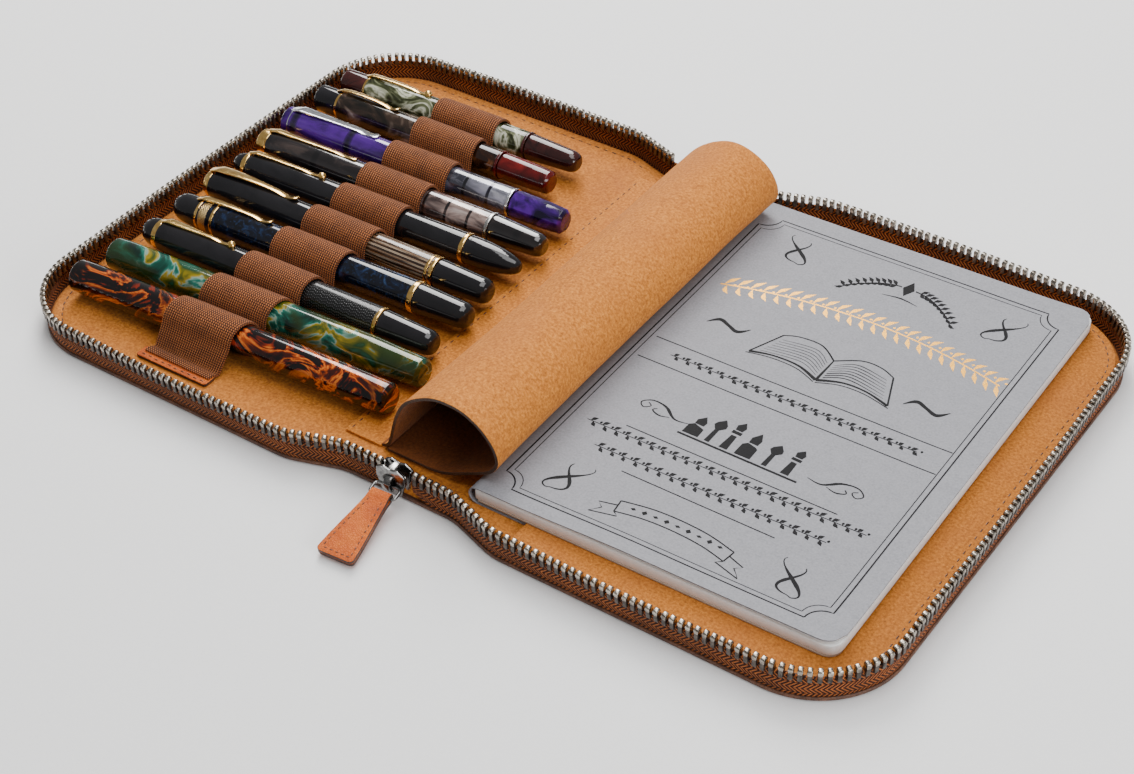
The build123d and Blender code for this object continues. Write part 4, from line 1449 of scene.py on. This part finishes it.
for n in range(7):
    t = (n + 1) / 8.0
    prints.append(([(mix(75.6, 76.0, t) - 1.5, mix(118.8, 130.2, t)),
                    (mix(65, 67.5, t), mix(122.6, 135.4, t)), (mix(48.5, 54.0, t), mix(120.4, 133.8, t))],
                   [0.16, 0.24, 0.12]))
    prints.append(([(mix(75.6, 76.0, t) + 1.5, mix(118.8, 130.2, t)),
                    (mix(86, 85.0, t), mix(122.6, 135.4, t)), (mix(102.5, 97.6, t), mix(119.6, 133.2, t))],
                   [0.12 + 0.25 * (t < 0.4), 0.36, 0.12]))

# A row of nibs, pens and brushes.
for n, (x, tall, kind) in enumerate(((52.0, 11.5, 0), (59.0, 14.0, 1), (66.0, 16.5, 2), (74.0, 14.5, 0),
                                     (83.0, 13.0, 1), (91.5, 15.0, 2))):
    y = 65.8 - 0.12 * n
    if kind == 0:
        prints.append(([(x, y), (x, y + tall * 0.42), (x + 0.3, y + tall * 0.5)], [4.6, 4.4, 2.6], False))
        prints.append(([(x + 0.3, y + tall * 0.55), (x + 0.4, y + tall * 0.75), (x + 0.7, y + tall)],
                       [2.6, 2.9, 0.1], False))
    elif kind == 1:
        prints.append(([(x, y), (x + 0.2, y + tall * 0.55)], [1.5, 1.2], False))
        prints.append(([(x + 0.2, y + tall * 0.55), (x + 0.3, y + tall * 0.7), (x + 0.5, y + tall * 0.82),
                        (x + 0.7, y + tall)], [1.4, 3.6, 3.0, 0.1], False))
    else:
        prints.append(([(x, y), (x + 0.2, y + tall * 0.5)], [2.4, 1.6], False))
        prints.append(([(x + 0.2, y + tall * 0.56), (x + 0.3, y + tall * 0.66)], [2.8, 2.8], False))
        prints.append(([(x + 0.3, y + tall * 0.69), (x + 0.4, y + tall * 0.84), (x + 0.8, y + tall)],
                       [2.0, 2.7, 0.1], False))
prints.append((dense([(47.5, 64.6), (97.5, 63.8)]), 0.7, False))

# Flourishes beside them, and a blank ribbon below.
for way, x, y in ((1, 49.0, 70.5), (-1, 99.5, 68.2)):
    prints.append(([(x, y), (x - way * 6, y - 0.6), (x - way * 12, y + 3.6), (x - way * 18, y + 4.4),
                    (x - way * 21.5, y + 1.6), (x - way * 19.5, y - 0.6),
                    (x - way * 17.2, y + 1.2), (x - way * 19.0, y + 2.6)],
                   [0.2, 0.5, 0.9, 0.5, 0.4, 0.35, 0.3]))
    prints.append(([(x - way * 8, y - 0.8), (x - way * 12, y - 1.8), (x - way * 15.5, y - 0.4),
                    (x - way * 14.4, y + 1.2)], [0.2, 0.5, 0.3]))
ribbon_top = [(50.5, 22.2), (62, 24.4), (74, 24.9), (86, 23.9), (97.0, 21.2)]
ribbon_low = [(51.3, 16.2), (62, 18.2), (74, 18.7), (86, 17.7), (96.2, 15.2)]
prints += [(ribbon_top, 0.42), (ribbon_low, 0.42), ([ribbon_top[0], ribbon_low[0]], 0.42, False),
           ([ribbon_top[-1], ribbon_low[-1]], 0.42, False),
           ([(50.7, 19.6), (44.0, 17.8), (46.6, 15.6), (43.4, 11.8), (53.6, 14.4), (51.3, 16.2)], 0.42,
            False),
           ([(96.8, 18.6), (103.4, 16.2), (101.0, 14.2), (104.6, 10.2), (94.0, 13.4), (96.2, 15.2)], 0.42,
            False)]
for n in range(9):
    x = 56.5 + n * 4.4
    y = 20.3 + 1.3 * (1 - ((x - 74) / 22) ** 2)
    prints.append(([(x - 1.1, y), (x, y), (x + 1.1, y)], [0.05, 1.7 if n % 2 else 1.0, 0.05], False))

# A crest of leaves at the top.
for way in (-1, 1):
    stem = [(79.5 + way * (3 + 2.2 * k), 186.5 - 0.13 * k * k - 0.1 * k) for k in range(11)]
    prints.append((stem, [0.5, 0.4, 0.2]))
    for k in range(1, 10):
        x, y = stem[k]
        prints.append(([(x, y), (x + way * 1.5, y + 1.7), (x + way * 3.0, y + 2.6)], [0.1, 1.3, 0.1]))
        prints.append(([(x, y), (x + way * 1.5, y - 1.5), (x + way * 3.2, y - 2.0)], [0.1, 1.2, 0.1]))
prints += [([(79.5, 181.5), (79.5, 186.3), (79.5, 191.2)], [0.1, 3.4, 0.1], False),
           ([(72, 178.2), (79.5, 179.4), (87, 178.2)], [0.2, 0.6, 0.2])]
artwork("notebook_print", prints, dark_ink, 1.45)


def arch_at(x):
    """The arched line of the gold band."""
    return 159.8 - ((x - 76.0) / 55.0) ** 2 * 7.8


gold_strokes = [([(x, arch_at(x)) for x in range(15, 138, 6)], 0.75)]
for n in range(24):
    x = 16.5 + 5.05 * n
    y = arch_at(x)
    for way in (-1, 1):
        foot, tip = x + (1.2 if way < 0 else 0.0), x + 3.6 + (0.6 if way < 0 else 0.0)
        gold_strokes.append(([(foot, y + way * 0.3), (mix(foot, tip, 0.30), y + way * 3.3),
                              (tip, arch_at(tip) + way * 6.0)], [0.2, 2.0, 0.1]))
    gold_strokes.append(([(x + 3.3, y + 1.7), (x + 3.9, y + 1.7), (x + 4.5, y + 1.7)], [0.4, 1.3, 0.4],
                         False))
artwork("notebook_foil", gold_strokes, gold_foil)

# ---- The pens ----


def resin(name, stops, across=0.4, turn=0.5, size=9.0, warp=1.5, roughness=0.10, coat=0.6, metal=0.0,
          flecks=None, detail=3.5, veil=None):
    """Marbled resin: drawn-out slanting swirls of several colours under a polished skin, with darker
    drifts as its veil."""
    material, tree, shader = finish(name, roughness, metal=metal, coat=coat, shine=0.2)
    place = add(tree, "Mapping", Vector=coordinates(tree, turn=(0.3, 0.2, turn)))
    place.inputs["Scale"].default_value = (across, 1, 1)
    place = place.outputs[0]
    swirl = cloud(tree, place, size, detail, 0.55, warp)
    colour = ramp(tree, swirl, stops)
    if flecks:
        sparks = cloud(tree, coordinates(tree), 1.6, 2, 0.5)
        colour = blend_colours(tree, grey(tree, sparks, 0.58, 0.68, 0, 0.8), colour, flecks)
    if veil:
        drift = cloud(tree, place, size * 1.8, 2, 0.5, 0.5)
        colour = blend_colours(tree, grey(tree, drift, 0.47, 0.60, 0, 0.92), colour, veil)
    smear = cloud(tree, coordinates(tree, scale=(0.3, 1, 1)), 5, 2)
    skin(tree, shader, colour, grey(tree, smear, 0.3, 0.7, roughness * 0.7, roughness * 1.7))
    relief(tree, shader, smear, 0.03, 0.15)
    return material


def striped(name, dark, mid, light, count):
    """Barrel rolled from stripes that run along the pen; the map's U goes round the barrel."""
    material, tree, shader = finish(name, 0.12, coat=0.8, shine=0.2)
    u = cloth_map(tree)[0]
    wander = cloud(tree, coordinates(tree, scale=(0.12, 1, 1)), 5, 2)
    turns = maths(tree, "MULTIPLY", u, 2 * pi * count / 0.04)
    stripes = maths(tree, "SINE", maths(tree, "ADD", turns, maths(tree, "MULTIPLY", wander, 9.0)))
    second = maths(tree, "SINE", maths(tree, "MULTIPLY", u, 2 * pi * count * 2.7 / 0.04))
    both = maths(tree, "ADD", maths(tree, "MULTIPLY", stripes, 0.65), maths(tree, "MULTIPLY", second, 0.35))
    stops = [(0.30, dark), (0.45, mid), (0.55, dark), (0.78, light), (0.92, mid)]
    skin(tree, shader, ramp(tree, grey(tree, both, -1, 1), stops), grey(tree, wander, 0.3, 0.7, 0.08, 0.18))
    relief(tree, shader, stripes, 0.02, 0.2)
    return material


def chased(name, dark, light):
    """Black barrel engraved all over with wavy rows of fine lines."""
    material, tree, shader = finish(name, 0.26, coat=0.5, shine=0.2)
    u, v = cloth_map(tree)
    weave = maths(tree, "MULTIPLY", waves(tree, v, 0.0036), 0.55)
    rows = maths(tree, "SINE", maths(tree, "ADD", maths(tree, "MULTIPLY", u, 2 * pi / 0.00135),
                                     maths(tree, "MULTIPLY", weave, 3.0)))
    ticks = waves(tree, v, 0.0009)
    cut = maths(tree, "MULTIPLY", grey(tree, rows, -0.2, 0.9), grey(tree, ticks, -0.6, 0.6))
    skin(tree, shader, ramp(tree, cut, [(0.2, dark), (0.9, light)]), grey(tree, cut, 0, 1, 0.24, 0.5))
    relief(tree, shader, cut, 0.16, 0.8)
    return material


def clear_body(name, stops, tint, roughness=0.08, rings=7.0):
    """A see-through barrel as it looks: bright streaks along it, partly the metal parts inside and partly
    painted reflections, and dark gaps behind a polished skin.
    """
    material, tree, shader = finish(name, roughness, coat=1.0)
    u, v = cloth_map(tree)
    # Cloudy streaks drawn out along the pen: painted reflections along the clear barrel, which also set its
    # tint and roughness.
    slow = cloud(tree, coordinates(tree, scale=(0.30, 1, 1)), 4.5, 4, 0.6, 0.8)
    steps = grey(tree, waves(tree, v, rings * 3 * MM), -1, 1)
    edges = grey(tree, waves(tree, v, rings * MM), 0.90, 1.0, 1.0, 0.15)
    # Bands running along the pen, made bright and metallic: partly the metal parts inside and partly painted
    # reflection.
    bands = grey(tree, waves(tree, u, 0.0145), -1, 1)
    value = maths(tree, "ADD", maths(tree, "MULTIPLY", slow, 0.95), maths(tree, "MULTIPLY", bands, 0.22))
    value = maths(tree, "ADD", value, maths(tree, "MULTIPLY", steps, 0.14))
    value = maths(tree, "SUBTRACT", value, 0.16)
    value = maths(tree, "MULTIPLY", value, edges)
    colour = ramp(tree, value, stops)
    skin(tree, shader, blend_colours(tree, grey(tree, slow, 0.5, 0.72, 0, 0.5), colour, tint),
         grey(tree, slow, 0.4, 0.7, roughness, roughness * 2.2))
    tree.links.new(grey(tree, bands, 0.55, 0.95, 0.0, 0.55), shader.inputs["Metallic"])
    relief(tree, shader, steps, 0.05, 0.3)
    return material


def engraved(name, dark, light):
    material, tree, shader = finish(name, 0.22, metal=1.0)
    u, v = cloth_map(tree)
    cross_a = maths(tree, "SINE", maths(tree, "MULTIPLY", maths(tree, "ADD", u, v), 2 * pi / 0.0012))
    cross_b = maths(tree, "SINE", maths(tree, "MULTIPLY", maths(tree, "SUBTRACT", u, v), 2 * pi / 0.0012))
    cut = grey(tree, maths(tree, "MAXIMUM", cross_a, cross_b), 0.1, 1.0)
    skin(tree, shader, ramp(tree, cut, [(0.1, light), (0.9, dark)]), grey(tree, cut, 0, 1, 0.18, 0.4))
    relief(tree, shader, cut, -0.12, 0.8)
    return material


black_resin = resin("black_resin", [(0.2, (0.004, 0.004, 0.005)), (0.8, (0.012, 0.011, 0.013))],
                    roughness=0.07)
ember_resin = resin("ember_resin", [(0.37, (0.006, 0.003, 0.003)), (0.43, (0.060, 0.006, 0.002)),
                                    (0.465, (0.40, 0.060, 0.004)), (0.485, (0.68, 0.18, 0.018)),
                                    (0.505, (0.22, 0.018, 0.002)), (0.525, (0.004, 0.002, 0.002)),
                                    (0.60, (0.008, 0.005, 0.005)), (0.63, (0.30, 0.022, 0.003))],
                    across=0.24, turn=0.60, size=12, warp=0.9, detail=4.4, metal=0.2,
                    veil=(0.005, 0.003, 0.003))
sea_resin = resin("sea_resin", [(0.35, (0.002, 0.014, 0.009)), (0.42, (0.003, 0.055, 0.036)),
                                (0.465, (0.010, 0.130, 0.095)), (0.488, (0.22, 0.34, 0.27)),
                                (0.505, (0.30, 0.21, 0.010)), (0.55, (0.095, 0.095, 0.003)),
                                (0.60, (0.008, 0.042, 0.010)), (0.66, (0.010, 0.090, 0.055))],
                  across=0.26, turn=0.56, size=12, warp=0.8, detail=3.8, metal=0.2,
                  veil=(0.020, 0.034, 0.006))
chased_black = chased("chased_black", (0.006, 0.006, 0.006), (0.055, 0.055, 0.058))
navy_resin = resin("navy_resin", [(0.42, (0.002, 0.002, 0.004)), (0.55, (0.003, 0.005, 0.013)),
                                  (0.64, (0.007, 0.017, 0.050)), (0.74, (0.030, 0.070, 0.15))],
                   across=0.6, size=6, warp=1.5, flecks=(0.008, 0.020, 0.055))
wood_stripes = striped("wood_stripes", (0.008, 0.005, 0.004), (0.13, 0.050, 0.014), (0.40, 0.31, 0.22), 22.0)
smoke_cap = clear_body("smoke_cap", [(0.20, (0.003, 0.002, 0.003)), (0.62, (0.014, 0.010, 0.011)),
                                     (0.82, (0.10, 0.070, 0.062)), (0.98, (0.42, 0.34, 0.31))],
                       (0.010, 0.006, 0.006), 0.1, 26.0)
clear_barrel = clear_body("clear_barrel", [(0.16, (0.006, 0.004, 0.005)), (0.40, (0.060, 0.036, 0.034)),
                                           (0.60, (0.36, 0.26, 0.23)), (0.86, (0.86, 0.76, 0.71))],
                          (0.26, 0.125, 0.095), 0.1, 11.0)
violet_cap = clear_body("violet_cap", [(0.10, (0.004, 0.001, 0.014)), (0.46, (0.034, 0.003, 0.115)),
                                       (0.70, (0.100, 0.009, 0.32)), (0.94, (0.22, 0.07, 0.55))],
                        (0.050, 0.004, 0.17), 0.1, 30.0)
violet_end = resin("violet_end", [(0.34, (0.004, 0.001, 0.018)), (0.5, (0.030, 0.003, 0.105)),
                                  (0.66, (0.095, 0.008, 0.30)), (0.8, (0.010, 0.002, 0.040))], across=0.5,
                   size=9)
steel_barrel = clear_body("steel_barrel", [(0.14, (0.003, 0.003, 0.006)), (0.42, (0.035, 0.034, 0.050)),
                                           (0.62, (0.26, 0.26, 0.31)), (0.88, (0.82, 0.82, 0.88))],
                          (0.050, 0.020, 0.12), 0.1, 12.0)
stone_resin = resin("stone_resin", [(0.36, (0.005, 0.004, 0.003)), (0.50, (0.030, 0.018, 0.012)),
                                    (0.60, (0.12, 0.085, 0.065)), (0.72, (0.32, 0.26, 0.22))], across=0.5,
                    size=10, warp=1.2)
amber_resin = resin("amber_resin", [(0.38, (0.004, 0.002, 0.002)), (0.52, (0.020, 0.006, 0.002)),
                                    (0.60, (0.13, 0.040, 0.010)), (0.68, (0.36, 0.24, 0.16)),
                                    (0.76, (0.030, 0.010, 0.005))], across=0.3, size=9, warp=1.2)
oxblood_resin = resin("oxblood_resin", [(0.3, (0.030, 0.001, 0.001)), (0.55, (0.085, 0.003, 0.003)),
                                        (0.75, (0.17, 0.010, 0.008))], across=0.5, size=10)
pearl_resin = resin("pearl_resin", [(0.36, (0.005, 0.006, 0.002)), (0.46, (0.030, 0.034, 0.012)),
                                    (0.53, (0.14, 0.15, 0.085)), (0.59, (0.55, 0.55, 0.43)),
                                    (0.64, (0.085, 0.095, 0.045)),
                                    (0.74, (0.014, 0.016, 0.006))], across=0.6, size=10, warp=1.6)
burgundy_resin = resin("burgundy_resin", [(0.3, (0.010, 0.003, 0.003)), (0.6, (0.040, 0.009, 0.008)),
                                          (0.8, (0.085, 0.022, 0.018))], across=0.4, size=8)
engraved_gold = engraved("engraved_gold", (0.34, 0.19, 0.06), (0.92, 0.68, 0.34))


def pen_frame(number):
    x0, y0, x1, y1 = PENS[number][:4]
    return lay_on((x0, y0, PEN_HEIGHT), (x1 - x0, y1 - y0, 0), (0, 0, 1))


def pen_length(number):
    x0, y0, x1, y1 = PENS[number][:4]
    return hypot(x1 - x0, y1 - y0)


def turned(name, profile, number, material, fillet=0.5, around=56, slot_name=None, stands_for=(), facets=0):
    """Turns a profile of (distance along the pen, radius), its corners rounded, into a closed solid."""
    fillets = fillet if isinstance(fillet, (list, tuple)) else [fillet] * len(profile)
    line = rounded(profile, [0] + list(fillets[1:-1]) + [0], False, 4)
    last = len(line) - 1

    def place(u, v):
        x, r = line[int(round(v * last))]
        angle = 2 * pi * u
        if facets:
            wedge = 2 * pi / facets
            r *= mix(1.0, cos(wedge / 2) / cos(angle % wedge - wedge / 2), 0.85)
        return x, -r * sin(angle), r * cos(angle)
    piece = net(name, around, last, place, cloth=(44, 100))
    for loop in piece.data.uv_layers.active.data:
        row = int(round(loop.uv[1] / (100 * MM) * last))
        loop.uv = (loop.uv[0], line[row][0] * MM)
    tidy_shell(piece, 0.000004)
    carry(piece, pen_frame(number))
    soften(piece, 32 if not facets else 20)
    return settle(piece, "pen_" + number, material, slot_name or "pen_%s_resin" % number, stands_for)


def ring(number, tag, at, wide, radius, material, proud=0.35, kind="gold_trim", stands_for=()):
    """A plated ring with a slightly crowned face."""
    return turned("pen_%s_%s" % (number, tag),
                  [(at, radius - 0.6), (at, radius + proud * 0.6), (at + wide * 0.25, radius + proud),
                   (at + wide * 0.75, radius + proud),
                   (at + wide, radius + proud * 0.6), (at + wide, radius - 0.6), (at, radius - 0.6)],
                  number, material, 0.12, 56, kind, stands_for)


def dome(first, radius, deep, base, steps=7, power=2.0):
    """Profile from the pen's tip out to its side. first and deep are distances along the pen, and base is
    the radius left flat at the tip."""
    line = [(first, 0.0)]
    for k in range(steps + 1):
        t = (k / steps) ** 1.7
        line.append((first + deep * t, base + (radius - base) * (1 - (1 - t) ** power) ** (1 / power)))
    return line


CLIP_ROLL = Matrix.Rotation(radians(-14), 4, "X")     # the pens lie with their clips a little to the front


def clip(number, start, length, material=gold_plate, style="ball", wide=2.7, kind="gold_trim", root_wide=None,
         bow=0.0):
    """A spring clip: it steps out of the cap, runs along it, narrows, and turns up at its end or ends in a
    ball."""
    radius = PENS[number][4]
    root_wide = 1.3 * (root_wide or wide)
    wide = 1.3 * wide

    def height(t):
        foot = -0.9 * (1 - smooth_step(t, 0.0, 0.10))
        turned_up = 0.75 * smooth_step(t, 0.90, 1.0) if style == "tongue" else 0.0
        end = turned_up - 0.45 * exp(-((t - 0.86) / 0.07) ** 2)
        return radius + 0.55 + foot + end + bow * sin(pi * min(1.0, t * 1.15))

    def width(t):
        base = mix(root_wide, wide * 0.72, smooth_step(t, 0.0, 0.75))
        if style == "tongue":
            base += 0.9 * exp(-((t - 0.96) / 0.05) ** 2)
        return base * (0.5 if t < 0.001 or t > 0.999 else 1.0)

    def place(u, v):
        across = 2 * v - 1
        return start + u * length, across * width(u) / 2, height(u) - 0.22 * across * across

    blade = net("pen_%s_clip" % number, 46, 8, place, cloth=(length, 4))
    thicken(blade, 0.75, 0)
    facing_out(blade)
    round_edges(blade, 0.16, 2, 50)
    parts = [blade]
    if style == "ball":
        clear_selection()
        bpy.ops.mesh.primitive_uv_sphere_add(segments=24, ring_count=14, radius=1.75 * MM, location=(0, 0, 0))
        ball = bpy.context.object
        carry(ball, moved(start + length, 0, height(1.0) + 0.1) @ Matrix.Diagonal((1.08, 1, 1, 1)))
        parts.append(ball)
    piece = join("pen_%s_clip" % number, parts)
    carry(piece, pen_frame(number) @ CLIP_ROLL)
    soften(piece, 40)
    return settle(piece, "pen_" + number, material, kind)


END = 25.0                # from the barrel ring to the pen's end


def pen_cap(number, material, crown_material, crown_length, crown_shape):
    """The cap's body, and a crown of its own material where it has one."""
    cap_r, _, length, end_r = PENS[number][4:]
    tag = "pen_" + number
    start = 0.0
    if crown_material:
        if crown_shape == "dome":
            crown_r = min(end_r + 0.75, cap_r - 0.15)
            crown = dome(0.0, crown_r, min(crown_length, 6.5), 0.6) + [(crown_length, crown_r + 0.15)]
        else:
            crown_r = min(end_r + 0.9, cap_r - 0.15)
            crown = [(0.0, 0.0), (0.0, crown_r - 0.7), (0.8, crown_r), (crown_length, crown_r + 0.1)]
        turned(tag + "_crown", crown + [(crown_length, 0.0)], number, crown_material, 0.35)
        start = crown_length + 0.03
        body = [(start, 0.0), (start, crown_r + 0.15)]
        fillet = 0.6
    else:
        body = [(0.0, 0.0), (0.0, cap_r - 1.2), (0.9, cap_r - 0.45)]
        fillet = [0, 0.5, 1.0, 2.5, 4, 4, 0.3, 0.3, 0]
    body += [(mix(start, 14, 0.5), mix(body[-1][1], cap_r, 0.62)), (22.0, cap_r), (44.0, cap_r),
             (length - 0.5, cap_r - 0.02), (length, cap_r - 0.45), (length, 0.0)]
    turned(tag + "_cap_body", body, number, material, fillet, stands_for=(tag + "_cap",))


def pen_barrel(number, material, end_material, end_shape, facets):
    """The barrel, and its end of another material unless both are one turned piece."""
    _, barrel_r, cap_length, end_r = PENS[number][4:]
    total = pen_length(number)
    tag = "pen_" + number
    joint = total - END
    line = [(cap_length + 0.1, 0.0), (cap_length + 0.1, barrel_r)]
    if end_material is material:
        line += [(joint, barrel_r), (total - 12, end_r + 0.25), (total - 1.4, end_r - 0.1),
                 (total, end_r - 1.3),
                 (total, 0.0)]
        turned(tag + "_barrel_body", line, number, material, 0.6, stands_for=(tag + "_barrel",))
        return
    line += [(joint - 1.7, barrel_r), (joint - 1.7, 0.0)]
    turned(tag + "_barrel_body", line, number, material, 0.2, stands_for=(tag + "_barrel",))
    if end_shape == "flat":
        tip = [(total - 9, end_r + 0.5), (total - 1.3, end_r), (total - 0.3, end_r - 1.0),
               (total, end_r - 1.5),
               (total, 0.0)]
    else:
        cigar = end_shape == "cigar"
        profile = dome(0.0, barrel_r - 0.1, END - 2, 1.2, 14, 1.9) if cigar else dome(0.0, end_r, 4.5, 2.2)
        tip = [] if cigar else [(total - 11, mix(end_r, barrel_r, 0.30))]
        tip += [(total - x, r) for x, r in reversed(profile)]
    line = [(joint, 0.0), (joint, barrel_r - 0.1), (joint + 1.5, barrel_r - 0.15)] + tip
    turned(tag + "_barrel_end", line, number, end_material, 0.5, facets=facets)


def make_pen(number, cap, barrel, end, crown=(None, 0.0, "dome"), end_shape="taper", rings=(), clip_kind=None,
             facets=0):
    """crown is its material, length and shape. A ring is its place (from the pen's end where negative),
    width, radius and, unless it is gold, its material and slot."""
    pen_cap(number, cap, *crown)
    pen_barrel(number, barrel, end, end_shape, facets)
    for n, given in enumerate(rings):
        place, wide, radius, material, kind = (given + (gold_plate, "gold_trim"))[:5]
        place = place if place >= 0 else pen_length(number) + place
        stands_for = ("pen_%s_trim" % number,) if n == 0 else ()
        ring(number, "ring_%d" % (n + 1), place, wide, radius, material, kind=kind, stands_for=stands_for)
    if clip_kind:
        clip(number, **clip_kind)


def lip(number, wide=1.6):
    """The place, width and radius of the ring near the cap's lip."""
    return PENS[number][6] - 3.2, wide, PENS[number][4] - 0.2


SILVER, NICKEL = (silver_plate, "silver_trim"), (worn_nickel, "gold_trim")
make_pen("01", ember_resin, ember_resin, ember_resin)
make_pen("02", sea_resin, sea_resin, sea_resin)
make_pen("03", black_resin, chased_black, black_resin, (black_resin, 8.6, "dome"), "taper",
         [(8.2, 2.7, 6.15), (-END - 1.7, 1.7, 6.3), lip("03")],
         dict(start=9.6, length=36.0, wide=2.6, root_wide=3.4))
make_pen("04", navy_resin, navy_resin, black_resin, (black_resin, 15.5, "dome"), "taper",
         [(14.6, 1.3, 6.55), (16.6, 5.6, 6.6, engraved_gold, "gold_trim"), (22.9, 1.3, 6.85),
          (-END - 1.9, 2.4, 6.5), lip("04")],
         dict(start=12.0, length=38.5, style="tongue", wide=2.7, root_wide=3.6, bow=0.5))
make_pen("05", black_resin, wood_stripes, black_resin, (gold_plate, 4.2, "dome"), "taper",
         [(4.0, 1.4, 6.1), (-END - 3.9, 1.3, 6.3), (-END - 1.9, 1.7, 6.3), lip("05")],
         dict(start=3.0, length=46.0, style="tongue", wide=3.4, root_wide=5.0, bow=0.9))
make_pen("06", black_resin, black_resin, black_resin.copy(), (black_resin, 7.2, "dome"), "cigar",
         [(6.9, 2.2, 5.6), (-END - 1.8, 1.9, 6.3), lip("06")],
         dict(start=8.0, length=38.5, wide=2.6))
make_pen("07", smoke_cap, clear_barrel, smoke_cap, (gold_plate, 4.6, "flat"), "taper",
         [(4.4, 1.2, 5.9), (-END - 1.7, 1.5, 6.25) + NICKEL, lip("07", 1.4) + NICKEL],
         dict(start=3.6, length=47.0, style="plain", wide=2.6, root_wide=3.0))
make_pen("08", violet_cap, steel_barrel, violet_end, (violet_end, 4.0, "flat"), "flat",
         [(3.8, 0.9, 6.1) + SILVER, (-END - 1.7, 1.2, 6.15) + SILVER, lip("08", 1.2) + SILVER],
         dict(start=3.4, length=46.0, material=silver_plate, style="plain", wide=4.6, root_wide=4.8,
              kind="silver_trim"), facets=10)
make_pen("09", stone_resin, amber_resin, oxblood_resin, (black_resin, 12.5, "flat"), "flat",
         [(12.0, 1.6, 5.95), (-END - 1.6, 1.2, 5.95, oxblood_resin, "gold_trim"), lip("09", 1.3)],
         dict(start=9.5, length=34.0, style="tongue", wide=2.6, bow=1.0))
make_pen("10", pearl_resin, pearl_resin.copy(), burgundy_resin, (burgundy_resin, 13.5, "flat"), "taper",
         [(13.0, 1.5, 5.85), (-END - 1.6, 1.2, 5.85, burgundy_resin, "gold_trim"), lip("10", 1.3)],
         dict(start=11.5, length=33.5, wide=2.5, bow=0.5))

# ---- The CAD spine still shows ----

dress_cad("spine_cover", cover_leather)
